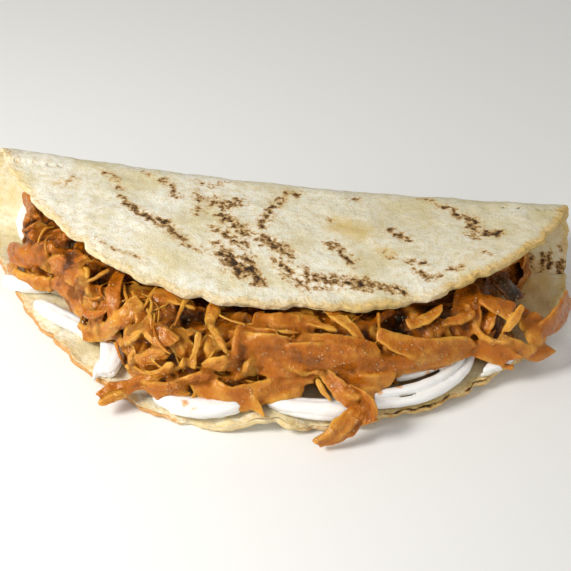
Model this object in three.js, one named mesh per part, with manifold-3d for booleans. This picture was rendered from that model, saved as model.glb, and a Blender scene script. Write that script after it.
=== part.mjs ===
// A folded quesadilla: one hand-pressed tortilla bent over a filling of shredded chicken and onion, with ropes of
// white string cheese showing along the open front.
//
// Millimetres, +Z up. The origin is on the flat underside. +X runs along the fold, the fold is at +Y and the open
// front faces -Y. "u" and "v" are places on the flat tortilla before it is folded, with v growing towards the flap.

import * as THREE from "three";
import { mergeVertices } from "three/addons/utils/BufferGeometryUtils.js";
import Module from "manifold-3d";

const wasm = await Module();
wasm.setup();

// ---------------------------------------------------------------- driving dimensions

const TORTILLA_RADIUS = 85;
const TORTILLA_THICKNESS = 2.4;
const FOLD_OFFSET = 8.8; // the fold misses the tortilla's middle by this much, so the flap is the shorter half
const FOLD_Y = 32; // the axis of the bend, behind the origin
const BEND_RADIUS = 11.5; // at mid-thickness, halfway along the fold
const BEND_FLARE = 1.6; // how much wider the bend is at both ends
const BEND_SLANT = -1.7; // how much wider it is at the right end than at the middle
const FLAP_SLIP = 4.4; // how far the flap has slid to the right over its length
const FLAP_SLIP_RUN = 60;
const FLAP_CROWN = 1.2; // the flap bulges this much over the filling
const FLAP_LENGTH = 52;
const GAP = 0.35; // air between touching pieces

// A hand-pressed round is never a true circle: [waves per turn, cosine part, sine part].
const RIM_WAVES = [
  [2, 1.7, -1.0],
  [3, -0.3, 0.4],
  [4, 0.6, -0.2],
  [5, -1.1, 0.0],
];

// Where the flap's rim falls short of the round: the angle on the flat round, the half width and the depth.
const FLAP_TRIMS = [
  { angle: 88, width: 28, depth: 5.5 },
  { angle: 48, width: 12, depth: 2.4 },
];

// Where the rim leaves the plate or the filling: the angle on the flat round, the half width and the height.
const LOWER_LIFTS = [
  { angle: -86, width: 5, height: 3.2 },
  { angle: -129, width: 10, height: 2.6 },
  { angle: -155, width: 12, height: 3.0 },
  { angle: -36, width: 14, height: 2.2 },
  { angle: -16, width: 10, height: 2.5 },
];
const FLAP_LIFTS = [
  { angle: 34, width: 14, height: 2.4 },
  { angle: 150, width: 14, height: -1.2 },
];
const LIFT_STARTS = 0.72; // share of the radius where the rim starts to lift

// ---------------------------------------------------------------- the tortilla's shape

const radians = THREE.MathUtils.degToRad;
const clamp = THREE.MathUtils.clamp;

function rimRadius(angle) {
  const wave = (sum, [turns, cosine, sine]) =>
    sum + cosine * Math.cos(turns * angle) + sine * Math.sin(turns * angle);
  const trim = (radius, place) => {
    const turn = (angle - radians(place.angle)) / radians(place.width);
    return radius - place.depth * Math.exp(-turn * turn);
  };
  return FLAP_TRIMS.reduce(trim, RIM_WAVES.reduce(wave, TORTILLA_RADIUS));
}

function bendRadius(x) {
  const share = x / TORTILLA_RADIUS;
  return BEND_RADIUS + BEND_FLARE * share * share + BEND_SLANT * share;
}

// How far the rim is lifted at this place on the flat round. It is exactly nothing away from the rim.
function rimLift(u, v, lifts) {
  const angle = Math.atan2(v, u);
  const out = Math.hypot(u, v) / rimRadius(angle);
  const share = clamp((out - LIFT_STARTS) / (1 - LIFT_STARTS), 0, 1.1);
  if (share === 0) return 0;
  const height = lifts.reduce((sum, lift) => {
    const turn = (angle - radians(lift.angle)) / radians(lift.width);
    return sum + lift.height * Math.exp(-turn * turn);
  }, 0);
  return height * share * share;
}

function flapHeight(u, v, reach) {
  const crown = FLAP_CROWN * Math.sin(Math.PI * clamp(reach / FLAP_LENGTH, 0, 1));
  return 2 * bendRadius(u) + TORTILLA_THICKNESS / 2 + crown + rimLift(u, v, FLAP_LIFTS);
}

// The middle of the tortilla's thickness, folded: a flat lower half, half a turn of bend, and the flap.
function folded(u, v) {
  const radius = bendRadius(u);
  const along = v - FOLD_OFFSET;
  const quarter = (Math.PI * radius) / 2;
  const slip = (FLAP_SLIP * clamp(along, 0, 1.5 * FLAP_SLIP_RUN)) / FLAP_SLIP_RUN;
  if (along < -quarter) {
    const height = TORTILLA_THICKNESS / 2 + rimLift(u, v, LOWER_LIFTS);
    return new THREE.Vector3(u, FOLD_Y + along + quarter, height);
  }
  if (along > quarter) {
    const reach = along - quarter;
    return new THREE.Vector3(u + slip, FOLD_Y - reach, flapHeight(u, v, reach));
  }
  const turn = along / radius;
  return new THREE.Vector3(
    u + slip,
    FOLD_Y + radius * Math.cos(turn),
    radius + TORTILLA_THICKNESS / 2 + radius * Math.sin(turn),
  );
}

// The direction from the tortilla into the filling.
function inward(u, v) {
  const step = 0.05;
  const alongU = folded(u + step, v).sub(folded(u - step, v));
  const alongV = folded(u, v + step).sub(folded(u, v - step));
  return alongU.cross(alongV).normalize();
}

// ---------------------------------------------------------------- building closed meshes

function closedGeometry(points, triangles) {
  const geometry = new THREE.BufferGeometry();
  const positions = points.flatMap((p) => [p.x, p.y, p.z]);
  geometry.setAttribute("position", new THREE.Float32BufferAttribute(positions, 3));
  geometry.setIndex(triangles);
  return geometry;
}

function quad(a, b, c, d) {
  return [a, b, c, a, c, d];
}

// A sheet of cells across the round, thickened both ways and closed along its rim.
function tortillaGeometry(extra = 0) {
  const CELLS = 28;
  const RIM_TAPER = 0.35; // share of the thickness lost at the very rim
  const places = [];
  for (let row = 0; row <= CELLS; row++) {
    for (let column = 0; column <= CELLS; column++) {
      const across = (2 * column) / CELLS - 1;
      const even = (2 * row) / CELLS - 1;
      const up = even * (0.62 + 0.38 * even * even); // finer steps round the bend
      const x = across * Math.sqrt(1 - (up * up) / 2);
      const y = up * Math.sqrt(1 - (across * across) / 2);
      const angle = Math.atan2(y, x);
      const share = Math.hypot(x, y);
      const radius = rimRadius(angle) + extra;
      places.push({ u: share * radius * Math.cos(angle), v: share * radius * Math.sin(angle), share });
    }
  }
  const side = (direction) =>
    places.map(({ u, v, share }) => {
      const taper = 1 - RIM_TAPER * THREE.MathUtils.smoothstep(share, 0.96, 1);
      const half = (TORTILLA_THICKNESS * taper) / 2 + extra;
      return folded(u, v).addScaledVector(inward(u, v), direction * half);
    });
  const points = [...side(1), ...side(-1)];
  const width = CELLS + 1;
  const under = width * width;
  const triangles = [];
  for (let row = 0; row < CELLS; row++) {
    for (let column = 0; column < CELLS; column++) {
      const a = row * width + column;
      triangles.push(...quad(a, a + 1, a + width + 1, a + width));
      triangles.push(...quad(under + a, under + a + width, under + a + width + 1, under + a + 1));
    }
  }
  for (let i = 0; i < CELLS; i++) {
    const edges = [
      [i + 1, i],
      [i * width, (i + 1) * width],
      [CELLS * width + i, CELLS * width + i + 1],
      [(i + 1) * width + CELLS, i * width + CELLS],
    ];
    for (const [a, b] of edges) triangles.push(...quad(a, b, under + b, under + a));
  }
  return closedGeometry(points, triangles);
}

// ---------------------------------------------------------------- the filling

// The heap's edge seen from above, going round from the left end along the open front and back along the bend.
const HEAP_EDGE = [
  [-78, 19],
  [-68, 7],
  [-59, 5],
  [-53, -7],
  [-40, -17],
  [-23, -30],
  [-2, -29],
  [20, -24],
  [40, -22],
  [56, -10],
  [72, -8],
  [79, 3],
  [79, 24],
  [72, 37],
  [0, 38],
  [-70, 38],
  [-79, 30],
];
const HEAP_MIDDLE = new THREE.Vector2(0, 14);
const HEAP_HEADROOM = 1.4; // between the heap and the flap
const HEAP_BUMPS = 1.6;
const HEAP_SIDE_BUMPS = 1.1; // in and out, round the heap's side
const HEAP_WAIST = 0.3; // the widest level, as a share of the heap's height
const HEAP_ROUNDNESS = 5; // a high power makes steep sides

// The height of the inner face of the lower half or, behind the fold's axis, of the bend.
function floorUnder(x, y) {
  const hollow = bendRadius(x) - TORTILLA_THICKNESS / 2 - GAP;
  if (y <= FOLD_Y) return TORTILLA_THICKNESS + GAP;
  const behind = Math.min(y - FOLD_Y, hollow);
  return bendRadius(x) + TORTILLA_THICKNESS / 2 - Math.sqrt(hollow * hollow - behind * behind);
}

function roofOver(x, y) {
  const hollow = bendRadius(x) - TORTILLA_THICKNESS / 2 - HEAP_HEADROOM;
  const behind = clamp(y - FOLD_Y, 0, hollow);
  return bendRadius(x) + TORTILLA_THICKNESS / 2 + Math.sqrt(hollow * hollow - behind * behind);
}

function heapGeometry() {
  const RINGS = 8;
  const SPOKES = 60;
  const edge = new THREE.SplineCurve(
    [...HEAP_EDGE, HEAP_EDGE[0]].map(([x, y]) => new THREE.Vector2(x, y)),
  ).getSpacedPoints(SPOKES);
  const points = [];
  const place = (share, spoke, upper) => {
    const spot = HEAP_MIDDLE.clone().lerp(edge[spoke % SPOKES], share);
    const low = floorUnder(spot.x, spot.y);
    const bump = 0.5 + 0.25 * (Math.sin(spot.x / 4.1 + spot.y / 9) + Math.sin(spot.y / 3.7 - spot.x / 13));
    const high = roofOver(spot.x, spot.y) - HEAP_BUMPS * bump;
    const full = Math.pow(1 - Math.pow(share, HEAP_ROUNDNESS), 1 / HEAP_ROUNDNESS);
    const waist = low + HEAP_WAIST * (high - low);
    const height = upper ? waist + (high - waist) * full : waist - (waist - low) * full;
    const outward = spot.clone().sub(HEAP_MIDDLE).normalize();
    const knob = Math.sin(0.9 * spoke + 0.45 * height) * Math.cos(0.37 * spoke - 0.6 * height);
    spot.addScaledVector(outward, HEAP_SIDE_BUMPS * knob * Math.pow(share, HEAP_ROUNDNESS));
    return new THREE.Vector3(spot.x, spot.y, height);
  };
  // The rings run from the top's middle, out to the edge, and back in underneath.
  points.push(place(0, 0, true));
  for (let ring = 1; ring < 2 * RINGS; ring++) {
    const upper = ring <= RINGS;
    const inner = upper ? ring / RINGS : (2 * RINGS - ring) / RINGS;
    const share = 1 - (1 - inner) * (1 - inner);
    for (let spoke = 0; spoke < SPOKES; spoke++) points.push(place(share, spoke, upper));
  }
  points.push(place(0, 0, false));
  const last = points.length - 1;
  const triangles = [];
  for (let spoke = 0; spoke < SPOKES; spoke++) {
    const next = (spoke + 1) % SPOKES;
    triangles.push(0, 1 + spoke, 1 + next);
    for (let ring = 0; ring < 2 * RINGS - 2; ring++) {
      const a = 1 + ring * SPOKES;
      triangles.push(...quad(a + spoke, a + SPOKES + spoke, a + SPOKES + next, a + next));
    }
    const a = last - SPOKES;
    triangles.push(last, a + next, a + spoke);
  }
  return closedGeometry(points, triangles);
}

// ---------------------------------------------------------------- cheese ropes and loose shreds

// A flattened rope along a smooth path, with rounded ends. Each stop is [x, y, height of its middle].
function ropeGeometry({ stops, width, height }, extra = 0) {
  const STEPS = 12;
  const SIDES = 10;
  const END_POWER = 4;
  const path = new THREE.CatmullRomCurve3(stops.map((stop) => new THREE.Vector3(...stop)));
  const upright = new THREE.Vector3(0, 0, 1);
  const points = [path.getPointAt(0)];
  for (let step = 1; step < STEPS; step++) {
    const share = (1 - Math.cos((Math.PI * step) / STEPS)) / 2;
    const ends = Math.abs(2 * share - 1);
    const swell = Math.pow(1 - Math.pow(ends, END_POWER), 1 / END_POWER);
    const middle = path.getPointAt(share);
    const sideways = new THREE.Vector3().crossVectors(path.getTangentAt(share), upright).normalize();
    const lift = new THREE.Vector3().crossVectors(sideways, path.getTangentAt(share)).normalize();
    for (let side = 0; side < SIDES; side++) {
      const turn = (2 * Math.PI * side) / SIDES;
      points.push(
        middle
          .clone()
          .addScaledVector(sideways, (width / 2 + extra) * swell * Math.cos(turn))
          .addScaledVector(lift, (height / 2 + extra) * swell * Math.sin(turn)),
      );
    }
  }
  points.push(path.getPointAt(1));
  const last = points.length - 1;
  const triangles = [];
  for (let side = 0; side < SIDES; side++) {
    const next = (side + 1) % SIDES;
    triangles.push(0, 1 + side, 1 + next);
    for (let ring = 0; ring < STEPS - 2; ring++) {
      const a = 1 + ring * SIDES;
      triangles.push(...quad(a + side, a + SIDES + side, a + SIDES + next, a + next));
    }
    const a = last - SIDES;
    triangles.push(last, a + next, a + side);
  }
  return closedGeometry(points, triangles);
}

const CHEESE_ROPES = {
  cheese_far_left: { width: 5.5, height: 4, stops: [[-78, 44, 6.4], [-77.5, 36, 5.2], [-75, 28, 5.2]] },
  cheese_left_blob: { width: 8, height: 5, stops: [[-75, 7.5, 6.4], [-68, 7, 5.8], [-57, 8, 5.2]] },
  cheese_left: { width: 6, height: 4.4, stops: [[-65, -1, 5.6], [-57, -6.5, 5.4], [-46, -12, 5]] },
  cheese_fallen: { width: 7.5, height: 4.6, stops: [[-43, -10, 5.4], [-39, -19, 5.2], [-41, -29, 5.6]] },
  cheese_front_left: { width: 7, height: 5, stops: [[-24, -38, 6.2], [-12, -39.5, 5.6], [1, -35.5, 6.4]] },
  cheese_front: { width: 7, height: 5, stops: [[6, -35, 6.6], [16, -35.5, 5.6], [29, -36, 5.6]] },
  cheese_right: { width: 7, height: 5, stops: [[34, -32, 5.6], [50, -25, 5.6], [60, -14, 5.6], [61, -6, 6]] },
  cheese_right_inner: { width: 6, height: 4, stops: [[40, -24.5, 6.6], [50, -18, 8.4], [55, -8, 8.6]] },
  cheese_far_right: { width: 5, height: 4, stops: [[63, -18, 5.6], [67, -13, 5.8], [70, -8, 6]] },
};

const LOOSE_SHREDS = {
  shred_over_front: {
    width: 8,
    height: 5,
    stops: [[20, -22, 15], [25, -29, 13.5], [31, -35, 11.6], [28, -42, 7.4], [22, -48, 3.2]],
  },
  shred_over_left_rim: {
    width: 6.5,
    height: 4,
    stops: [[-23, -28, 9], [-28, -34, 7.4], [-33, -38, 5.6], [-37, -40.5, 4.9]],
  },
};

// ---------------------------------------------------------------- clearing the pieces from each other

function solidOf(geometry) {
  const merged = mergeVertices(geometry, 1e-4);
  return new wasm.Manifold(
    new wasm.Mesh({
      numProp: 3,
      vertProperties: merged.getAttribute("position").array,
      triVerts: new Uint32Array(merged.index.array),
    }),
  );
}

function geometryOf(solid) {
  const { vertProperties, triVerts } = solid.getMesh();
  const geometry = new THREE.BufferGeometry();
  geometry.setAttribute("position", new THREE.BufferAttribute(vertProperties, 3));
  geometry.setIndex(new THREE.BufferAttribute(triVerts, 1));
  return geometry;
}

// What is left of a piece once its neighbours, each grown by the gap, are taken out: its largest lump.
function cleared(geometry, neighbours) {
  const left = neighbours.reduce((solid, other) => solid.subtract(other), solidOf(geometry));
  const lumps = left.decompose().sort((a, b) => b.volume() - a.volume());
  return geometryOf(lumps[0]);
}

// ---------------------------------------------------------------- the assembly

const LOOKS = {
  tortilla: { color: 0xe9dfc0, roughness: 0.75 },
  filling: { color: 0xb9661c, roughness: 0.35 },
  cheese: { color: 0xf7f4ec, roughness: 0.4 },
};

const quesadilla = new THREE.Group();

function add(name, look, geometry) {
  const mesh = new THREE.Mesh(geometry, new THREE.MeshStandardMaterial({ ...LOOKS[look], metalness: 0 }));
  mesh.name = name;
  quesadilla.add(mesh);
}

add("tortilla", "tortilla", tortillaGeometry());
const taken = [solidOf(tortillaGeometry(GAP))];

for (const [name, rope] of Object.entries(CHEESE_ROPES)) {
  add(name, "cheese", cleared(ropeGeometry(rope), taken));
  taken.push(solidOf(ropeGeometry(rope, GAP)));
}
for (const [name, shred] of Object.entries(LOOSE_SHREDS)) {
  add(name, "filling", cleared(ropeGeometry(shred), taken));
  taken.push(solidOf(ropeGeometry(shred, GAP)));
}
add("chicken_filling", "filling", cleared(heapGeometry(), taken));

export default quesadilla;
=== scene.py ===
# %% [markdown]
# # A folded quesadilla
# One hand-pressed tortilla is bent over shredded chicken and onion in a brick-coloured sauce, and ropes of
# white string cheese lie along the open front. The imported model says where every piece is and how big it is.
# This script makes the fine surface of each piece around it, so it starts by loading that model as a fixed
# frame.

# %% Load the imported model
import math

import bpy
import numpy as np
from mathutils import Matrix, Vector
from mathutils.bvhtree import BVHTree
from mathutils.kdtree import KDTree


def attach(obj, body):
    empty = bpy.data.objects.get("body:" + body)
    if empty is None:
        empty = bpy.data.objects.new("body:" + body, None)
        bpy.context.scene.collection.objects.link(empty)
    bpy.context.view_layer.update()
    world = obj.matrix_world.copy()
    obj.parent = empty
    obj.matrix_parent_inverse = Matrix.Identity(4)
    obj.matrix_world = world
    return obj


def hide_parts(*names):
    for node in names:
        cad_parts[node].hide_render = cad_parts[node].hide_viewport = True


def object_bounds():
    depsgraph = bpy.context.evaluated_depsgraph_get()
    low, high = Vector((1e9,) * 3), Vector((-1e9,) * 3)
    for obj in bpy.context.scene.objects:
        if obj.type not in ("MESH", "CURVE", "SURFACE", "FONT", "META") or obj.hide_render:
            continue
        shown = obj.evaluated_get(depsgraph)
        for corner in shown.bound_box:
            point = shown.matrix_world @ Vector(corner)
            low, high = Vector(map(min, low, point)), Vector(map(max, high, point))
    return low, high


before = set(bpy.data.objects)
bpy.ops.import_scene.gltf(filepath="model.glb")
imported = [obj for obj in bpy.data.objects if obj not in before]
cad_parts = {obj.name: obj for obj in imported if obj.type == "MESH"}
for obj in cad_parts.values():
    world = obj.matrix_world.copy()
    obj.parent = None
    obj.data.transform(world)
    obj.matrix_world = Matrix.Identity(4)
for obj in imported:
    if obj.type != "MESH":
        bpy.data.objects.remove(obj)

CAD_BOX = [list(corner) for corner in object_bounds()]
print("packed pieces:", ", ".join(sorted(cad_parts)))

# %% [markdown]
# ## Units
# A cook's sizes are easiest to read in millimetres, but Blender's unit here is the metre. Every shape below
# is worked out in millimetres, and is scaled once, when its mesh is written.

# %% Millimetres to metres
MM = 0.001
LOW = np.array(CAD_BOX[0]) / MM
HIGH = np.array(CAD_BOX[1]) / MM
MIDDLE = (LOW + HIGH) / 2
print("the model spans", np.round(HIGH - LOW, 1), "mm")

# %% [markdown]
# ## The camera
# Food is usually looked at from a seated diner's height, about 40 degrees above the table, with a long
# lens that keeps the shape from bulging. The camera is placed by direction and distance from a point just in
# front of the fold, so that the framing follows the model.

# %% Place the camera
AZIMUTH = math.radians(6.5)
ELEVATION = math.radians(38.5)
DISTANCE = 450
LENS = 100.3
AIM = MIDDLE + (7.1, 6.5, -3.6)

back = Vector((
    math.sin(AZIMUTH) * math.cos(ELEVATION),
    -math.cos(AZIMUTH) * math.cos(ELEVATION),
    math.sin(ELEVATION),
))
camera = bpy.data.objects.new("camera", bpy.data.cameras.new("camera"))
camera.data.lens = LENS
camera.data.sensor_width = 36
camera.data.clip_start = 0.01
camera.location = Vector(AIM * MM) + back * DISTANCE * MM
camera.rotation_mode = "QUATERNION"
camera.rotation_quaternion = (-back).to_track_quat("-Z", "Y")
bpy.context.scene.collection.objects.link(camera)
bpy.context.scene.camera = camera
bpy.context.scene.view_settings.view_transform = "Standard"

# %% [markdown]
# ## Light
# A small soft box hangs close by at the left front. It gives the sauce its highlights, and because it's close
# the right end falls off a little. A wide one at the front right opens the shadow under the flap. Area lights
# are used because their size sets how soft each shadow's edge is.


# %% Hang the soft boxes
def soft_box(name, direction, distance, size, watts, warmth):
    light = bpy.data.lights.new(name, "AREA")
    light.shape = "SQUARE"
    light.size = size
    light.energy = watts
    light.color = warmth
    lamp = bpy.data.objects.new(name, light)
    towards = Vector(direction).normalized()
    lamp.location = Vector(AIM * MM) + towards * distance
    lamp.rotation_mode = "QUATERNION"
    lamp.rotation_quaternion = towards.to_track_quat("Z", "Y")
    bpy.context.scene.collection.objects.link(lamp)


soft_box("key", (-0.95, -0.65, 1.0), distance=0.42, size=0.14, watts=1.5, warmth=(1.0, 0.98, 0.93))
soft_box("fill", (0.45, -1.0, 0.6), distance=1.3, size=0.9, watts=3.0, warmth=(1.0, 0.97, 0.91))

ROOM_LIGHT = 0.37

world = bpy.data.worlds.new("studio")
world.use_nodes = True
background = world.node_tree.nodes["Background"]
background.inputs["Color"].default_value = (1.0, 0.99, 0.97, 1)
background.inputs["Strength"].default_value = ROOM_LIGHT
bpy.context.scene.world = world

# %% [markdown]
# ## Writing finishes
# A finish is easier to read as a formula than as a web of nodes. `Finish` owns one material, and its `node`
# method adds any node. It hands back a `Wire`, which is an output socket that understands arithmetic, so that
# `1 - mask * 0.5` adds its own Math nodes.


# %% A wire that understands arithmetic
class Wire:
    def __init__(self, finish, socket):
        self.finish = finish
        self.socket = socket

    def math(self, operation, first, second):
        return self.finish.node("ShaderNodeMath", {"operation": operation}, {0: first, 1: second})

    def __add__(self, other):
        return self.math("ADD", self, other)

    def __sub__(self, other):
        return self.math("SUBTRACT", self, other)

    def __rsub__(self, other):
        return self.math("SUBTRACT", other, self)

    def __mul__(self, other):
        return self.math("MULTIPLY", self, other)

    __radd__ = __add__
    __rmul__ = __mul__


# %% One material and its nodes
def paint(code):
    """The linear colour of a code such as "ece6ca", which is how a screen colour is usually noted."""
    shares = [int(code[i : i + 2], 16) / 255 for i in (0, 2, 4)]
    return [s / 12.92 if s < 0.04045 else ((s + 0.055) / 1.055) ** 2.4 for s in shares] + [1]


class Finish:
    def __init__(self, name, **sockets):
        self.material = bpy.data.materials.new(name)
        self.material.use_nodes = True
        self.tree = self.material.node_tree
        self.shader = self.tree.nodes["Principled BSDF"]
        self.fill(self.shader, {name.replace("_", " "): value for name, value in sockets.items()})

    def fill(self, node, sockets):
        for key, value in sockets.items():
            if isinstance(value, Wire):
                self.tree.links.new(value.socket, node.inputs[key])
            else:
                node.inputs[key].default_value = value

    def node(self, kind, settings=None, sockets=None, output=0):
        made = self.tree.nodes.new(kind)
        for key, value in (settings or {}).items():
            setattr(made, key, value)
        self.fill(made, sockets or {})
        return Wire(self, made.outputs[output])

    def surface(self, sockets):
        self.fill(self.shader, sockets)
        return self.material

    def mark(self, name):
        """A number that was written on the mesh's points."""
        return self.node("ShaderNodeAttribute", {"attribute_name": name}, output="Fac")

    def place(self, name):
        """A position that was written on the mesh's points, in millimetres."""
        return self.node("ShaderNodeAttribute", {"attribute_name": name}, output="Vector")

    def here(self):
        """The position in millimetres."""
        return self.stretch(self.node("ShaderNodeTexCoord", output="Object"), (1 / MM, 1 / MM, 1 / MM))

    def stretch(self, place, factors):
        settings = {"operation": "MULTIPLY"}
        return self.node("ShaderNodeVectorMath", settings, {0: place, 1: factors})

    def noise(self, place, size, detail=2, roughness=0.5, twist=0):
        """Cloudy noise with features of about this size in millimetres, mostly from 0.3 to 0.7."""
        sockets = {"Vector": place, "Scale": 1 / size, "Detail": detail}
        return self.node("ShaderNodeTexNoise", {}, {**sockets, "Roughness": roughness, "Distortion": twist})

    def step(self, value, low, high):
        """0 below low, 1 above high and a soft ramp between."""
        sockets = {"Value": value, "From Min": low, "From Max": high}
        return self.node("ShaderNodeMapRange", {"interpolation_type": "SMOOTHSTEP"}, sockets)

    def mix(self, mask, below, above):
        """The colour below where the mask is 0 and the colour above where it is 1."""
        return self.node("ShaderNodeMix", {"data_type": "RGBA"}, {0: mask, 6: below, 7: above}, output=2)

    def bump(self, height, depth):
        """Relief this many millimetres deep."""
        return self.node("ShaderNodeBump", {}, {"Height": height, "Distance": depth * MM}, output="Normal")


# %% [markdown]
# ## The table
# The floor is plain, pale and slightly rough, so that it shows a soft contact shadow and bounces white light
# under the rim. It isn't part of the food.

# %% Lay the floor
FLOOR_SIZE = 6.0
FLOOR_GAP = 0.0001

half = FLOOR_SIZE / 2
floor_mesh = bpy.data.meshes.new("floor")
corners = [(-half, -half, 0), (half, -half, 0), (half, half, 0), (-half, half, 0)]
floor_mesh.from_pydata(corners, [], [(0, 1, 2, 3)])
floor = bpy.data.objects.new("floor", floor_mesh)
floor.location.z = -FLOOR_GAP
bpy.context.scene.collection.objects.link(floor)
floor_mesh.materials.append(Finish("pale_table", Base_Color=(0.91, 0.91, 0.90, 1), Roughness=0.7).material)

# %% [markdown]
# ## Random relief
# Dough, meat and sauce are never smooth, and modelling each lump by hand would take for ever. A sum of sine
# waves in random directions gives lumps of one size that never repeat. It's worked out for a whole array of
# points at once, and the seed makes it the same on every run. What is local, such as a dent, fades out around
# its middle.


# %% Lumps of one size
def relief(points, size, seed, waves=20):
    """Smooth random bumps, mostly from -1 to 1, with lumps about `size` millimetres apart."""
    rng = np.random.default_rng(seed)
    points = np.asarray(points, float)
    directions = rng.normal(size=(waves, points.shape[1]))
    directions /= np.linalg.norm(directions, axis=1)[:, None]
    turns = 2 * np.pi / (size * rng.uniform(1.2, 2.6, waves))
    phases = rng.uniform(0, 2 * np.pi, waves)
    return np.sin(points @ (directions * turns[:, None]).T + phases).sum(axis=1) / math.sqrt(waves / 2) / 1.6


# %% Small helpers for arrays
def fade(away, size):
    """1 in the middle, about a third at this distance, and nothing soon after."""
    return np.exp(-((away / size) ** 2))


def unit(vectors):
    return vectors / np.maximum(np.linalg.norm(vectors, axis=-1, keepdims=True), 1e-9)


def in_turn(values, along):
    """One value, or several that come in turn along a piece, at shares from 0 to 1 of its length."""
    return np.interp(along, np.linspace(0, 1, np.size(values)), np.atleast_1d(values))


def distances(path):
    """How far each point of a path is from its start, along the path."""
    return np.concatenate([[0], np.linalg.norm(np.diff(path, axis=0), axis=1).cumsum()])


def length_of(path):
    return np.linalg.norm(np.diff(path, axis=0), axis=1).sum()


# %% [markdown]
# ## The tortilla's shape
# A tortilla is a flat round that has been folded, so it's described flat: `u` and `v` are places on the
# round, in millimetres, and one function folds them. The lower half lies flat, half a turn of bend stands at
# the back, and the flap covers the filling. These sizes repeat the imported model's, so the fine surface lies
# on its solid.

# %% The round and the fold
TORTILLA_RADIUS = 85
TORTILLA_THICKNESS = 2.4
FOLD_OFFSET = 8.8
FOLD_Y = 32
BEND_RADIUS = 11.5
BEND_FLARE = 1.6
BEND_SLANT = -1.7
FLAP_SLIP = 4.4
FLAP_SLIP_RUN = 60
FLAP_CROWN = 1.2
FLAP_LENGTH = 52
RIM_WAVES = [(2, 1.7, -1.0), (3, -0.3, 0.4), (4, 0.6, -0.2), (5, -1.1, 0.0)]
LIFT_STARTS = 0.72

# Where the flap's rim falls short of the round: angle on the round, half width in degrees, depth.
FLAP_TRIMS = [(88, 28, 5.5), (48, 12, 2.4)]

# Where the rim leaves the table or the filling: angle on the round, half width in degrees, height.
LOWER_LIFTS = [
    (-63, 13, 1.3), (-86, 5, 3.2), (-129, 10, 2.6), (-155, 12, 3.0), (-36, 14, 2.2), (-16, 10, 2.5),
]
FLAP_LIFTS = [(34, 14, 2.4), (150, 14, -1.2)]

# Small tears in the pressed rim: angle and depth.
NOTCHES = [(139, 1.3), (130, 1.6), (104, 1.1), (47, 1.2), (62, 0.9), (-118, 1.2), (-60, 1.1), (-84, 1.6)]
NOTCH_WIDTH = 1.3
SMALL_NOTCHES = 60
notch_rng = np.random.default_rng(13)
for _ in range(SMALL_NOTCHES):
    NOTCHES.append((notch_rng.uniform(-180, 180), notch_rng.uniform(0.2, 0.8)))


def rim_radius(angle):
    radius = np.full_like(angle, TORTILLA_RADIUS)
    for turns, cosine, sine in RIM_WAVES:
        radius += cosine * np.cos(turns * angle) + sine * np.sin(turns * angle)
    for at, width, depth in FLAP_TRIMS:
        radius -= depth * fade(angle - math.radians(at), math.radians(width))
    return radius


def ragged_rim(angle):
    """The rim with its scallops and tears."""
    round_trip = np.column_stack([np.cos(angle), np.sin(angle)]) * TORTILLA_RADIUS
    radius = rim_radius(angle) + 0.55 * relief(round_trip, 8, 11) + 0.3 * relief(round_trip, 3, 12)
    for at, depth in NOTCHES:
        away = np.degrees(np.angle(np.exp(1j * (angle - math.radians(at)))))
        radius -= depth * fade(away, NOTCH_WIDTH)
    return radius


def bend_radius(x):
    share = x / TORTILLA_RADIUS
    return BEND_RADIUS + BEND_FLARE * share**2 + BEND_SLANT * share


# %% Folding the round
def rim_lift(u, v, lifts):
    angle = np.arctan2(v, u)
    out = np.hypot(u, v) / rim_radius(angle)
    share = np.clip((out - LIFT_STARTS) / (1 - LIFT_STARTS), 0, 1.1)
    height = np.zeros_like(share)
    for at, width, lift in lifts:
        height += lift * fade(angle - math.radians(at), math.radians(width))
    return height * share**2


def flap_slip(along):
    return FLAP_SLIP * np.clip(along, 0, 1.5 * FLAP_SLIP_RUN) / FLAP_SLIP_RUN


def flap_height(u, v, reach):
    """The height of the middle of the flap's thickness."""
    crown = FLAP_CROWN * np.sin(np.pi * np.clip(reach / FLAP_LENGTH, 0, 1))
    return 2 * bend_radius(u) + TORTILLA_THICKNESS / 2 + crown + rim_lift(u, v, FLAP_LIFTS)


def folded(u, v):
    """Where the middle of the tortilla's thickness is once it's folded."""
    radius = bend_radius(u)
    along = v - FOLD_OFFSET
    quarter = np.pi * radius / 2
    turn = np.clip(along, -quarter, quarter) / radius
    lower = along < -quarter
    flap = along > quarter
    y = FOLD_Y + radius * np.cos(turn)
    z = radius + TORTILLA_THICKNESS / 2 + radius * np.sin(turn)
    y = np.where(lower, FOLD_Y + along + quarter, np.where(flap, FOLD_Y - along + quarter, y))
    z = np.where(lower, TORTILLA_THICKNESS / 2 + rim_lift(u, v, LOWER_LIFTS), z)
    z = np.where(flap, flap_height(u, v, along - quarter), z)
    return np.column_stack([u + np.where(lower, 0, flap_slip(along)), y, z])


def inward(u, v):
    """The direction from the tortilla into the filling."""
    step = 0.05
    along_u = folded(u + step, v) - folded(u - step, v)
    along_v = folded(u, v + step) - folded(u, v - step)
    return unit(np.cross(along_u, along_v))


print("halfway along the fold the bend is", 2 * BEND_RADIUS + TORTILLA_THICKNESS, "mm high")
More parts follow.
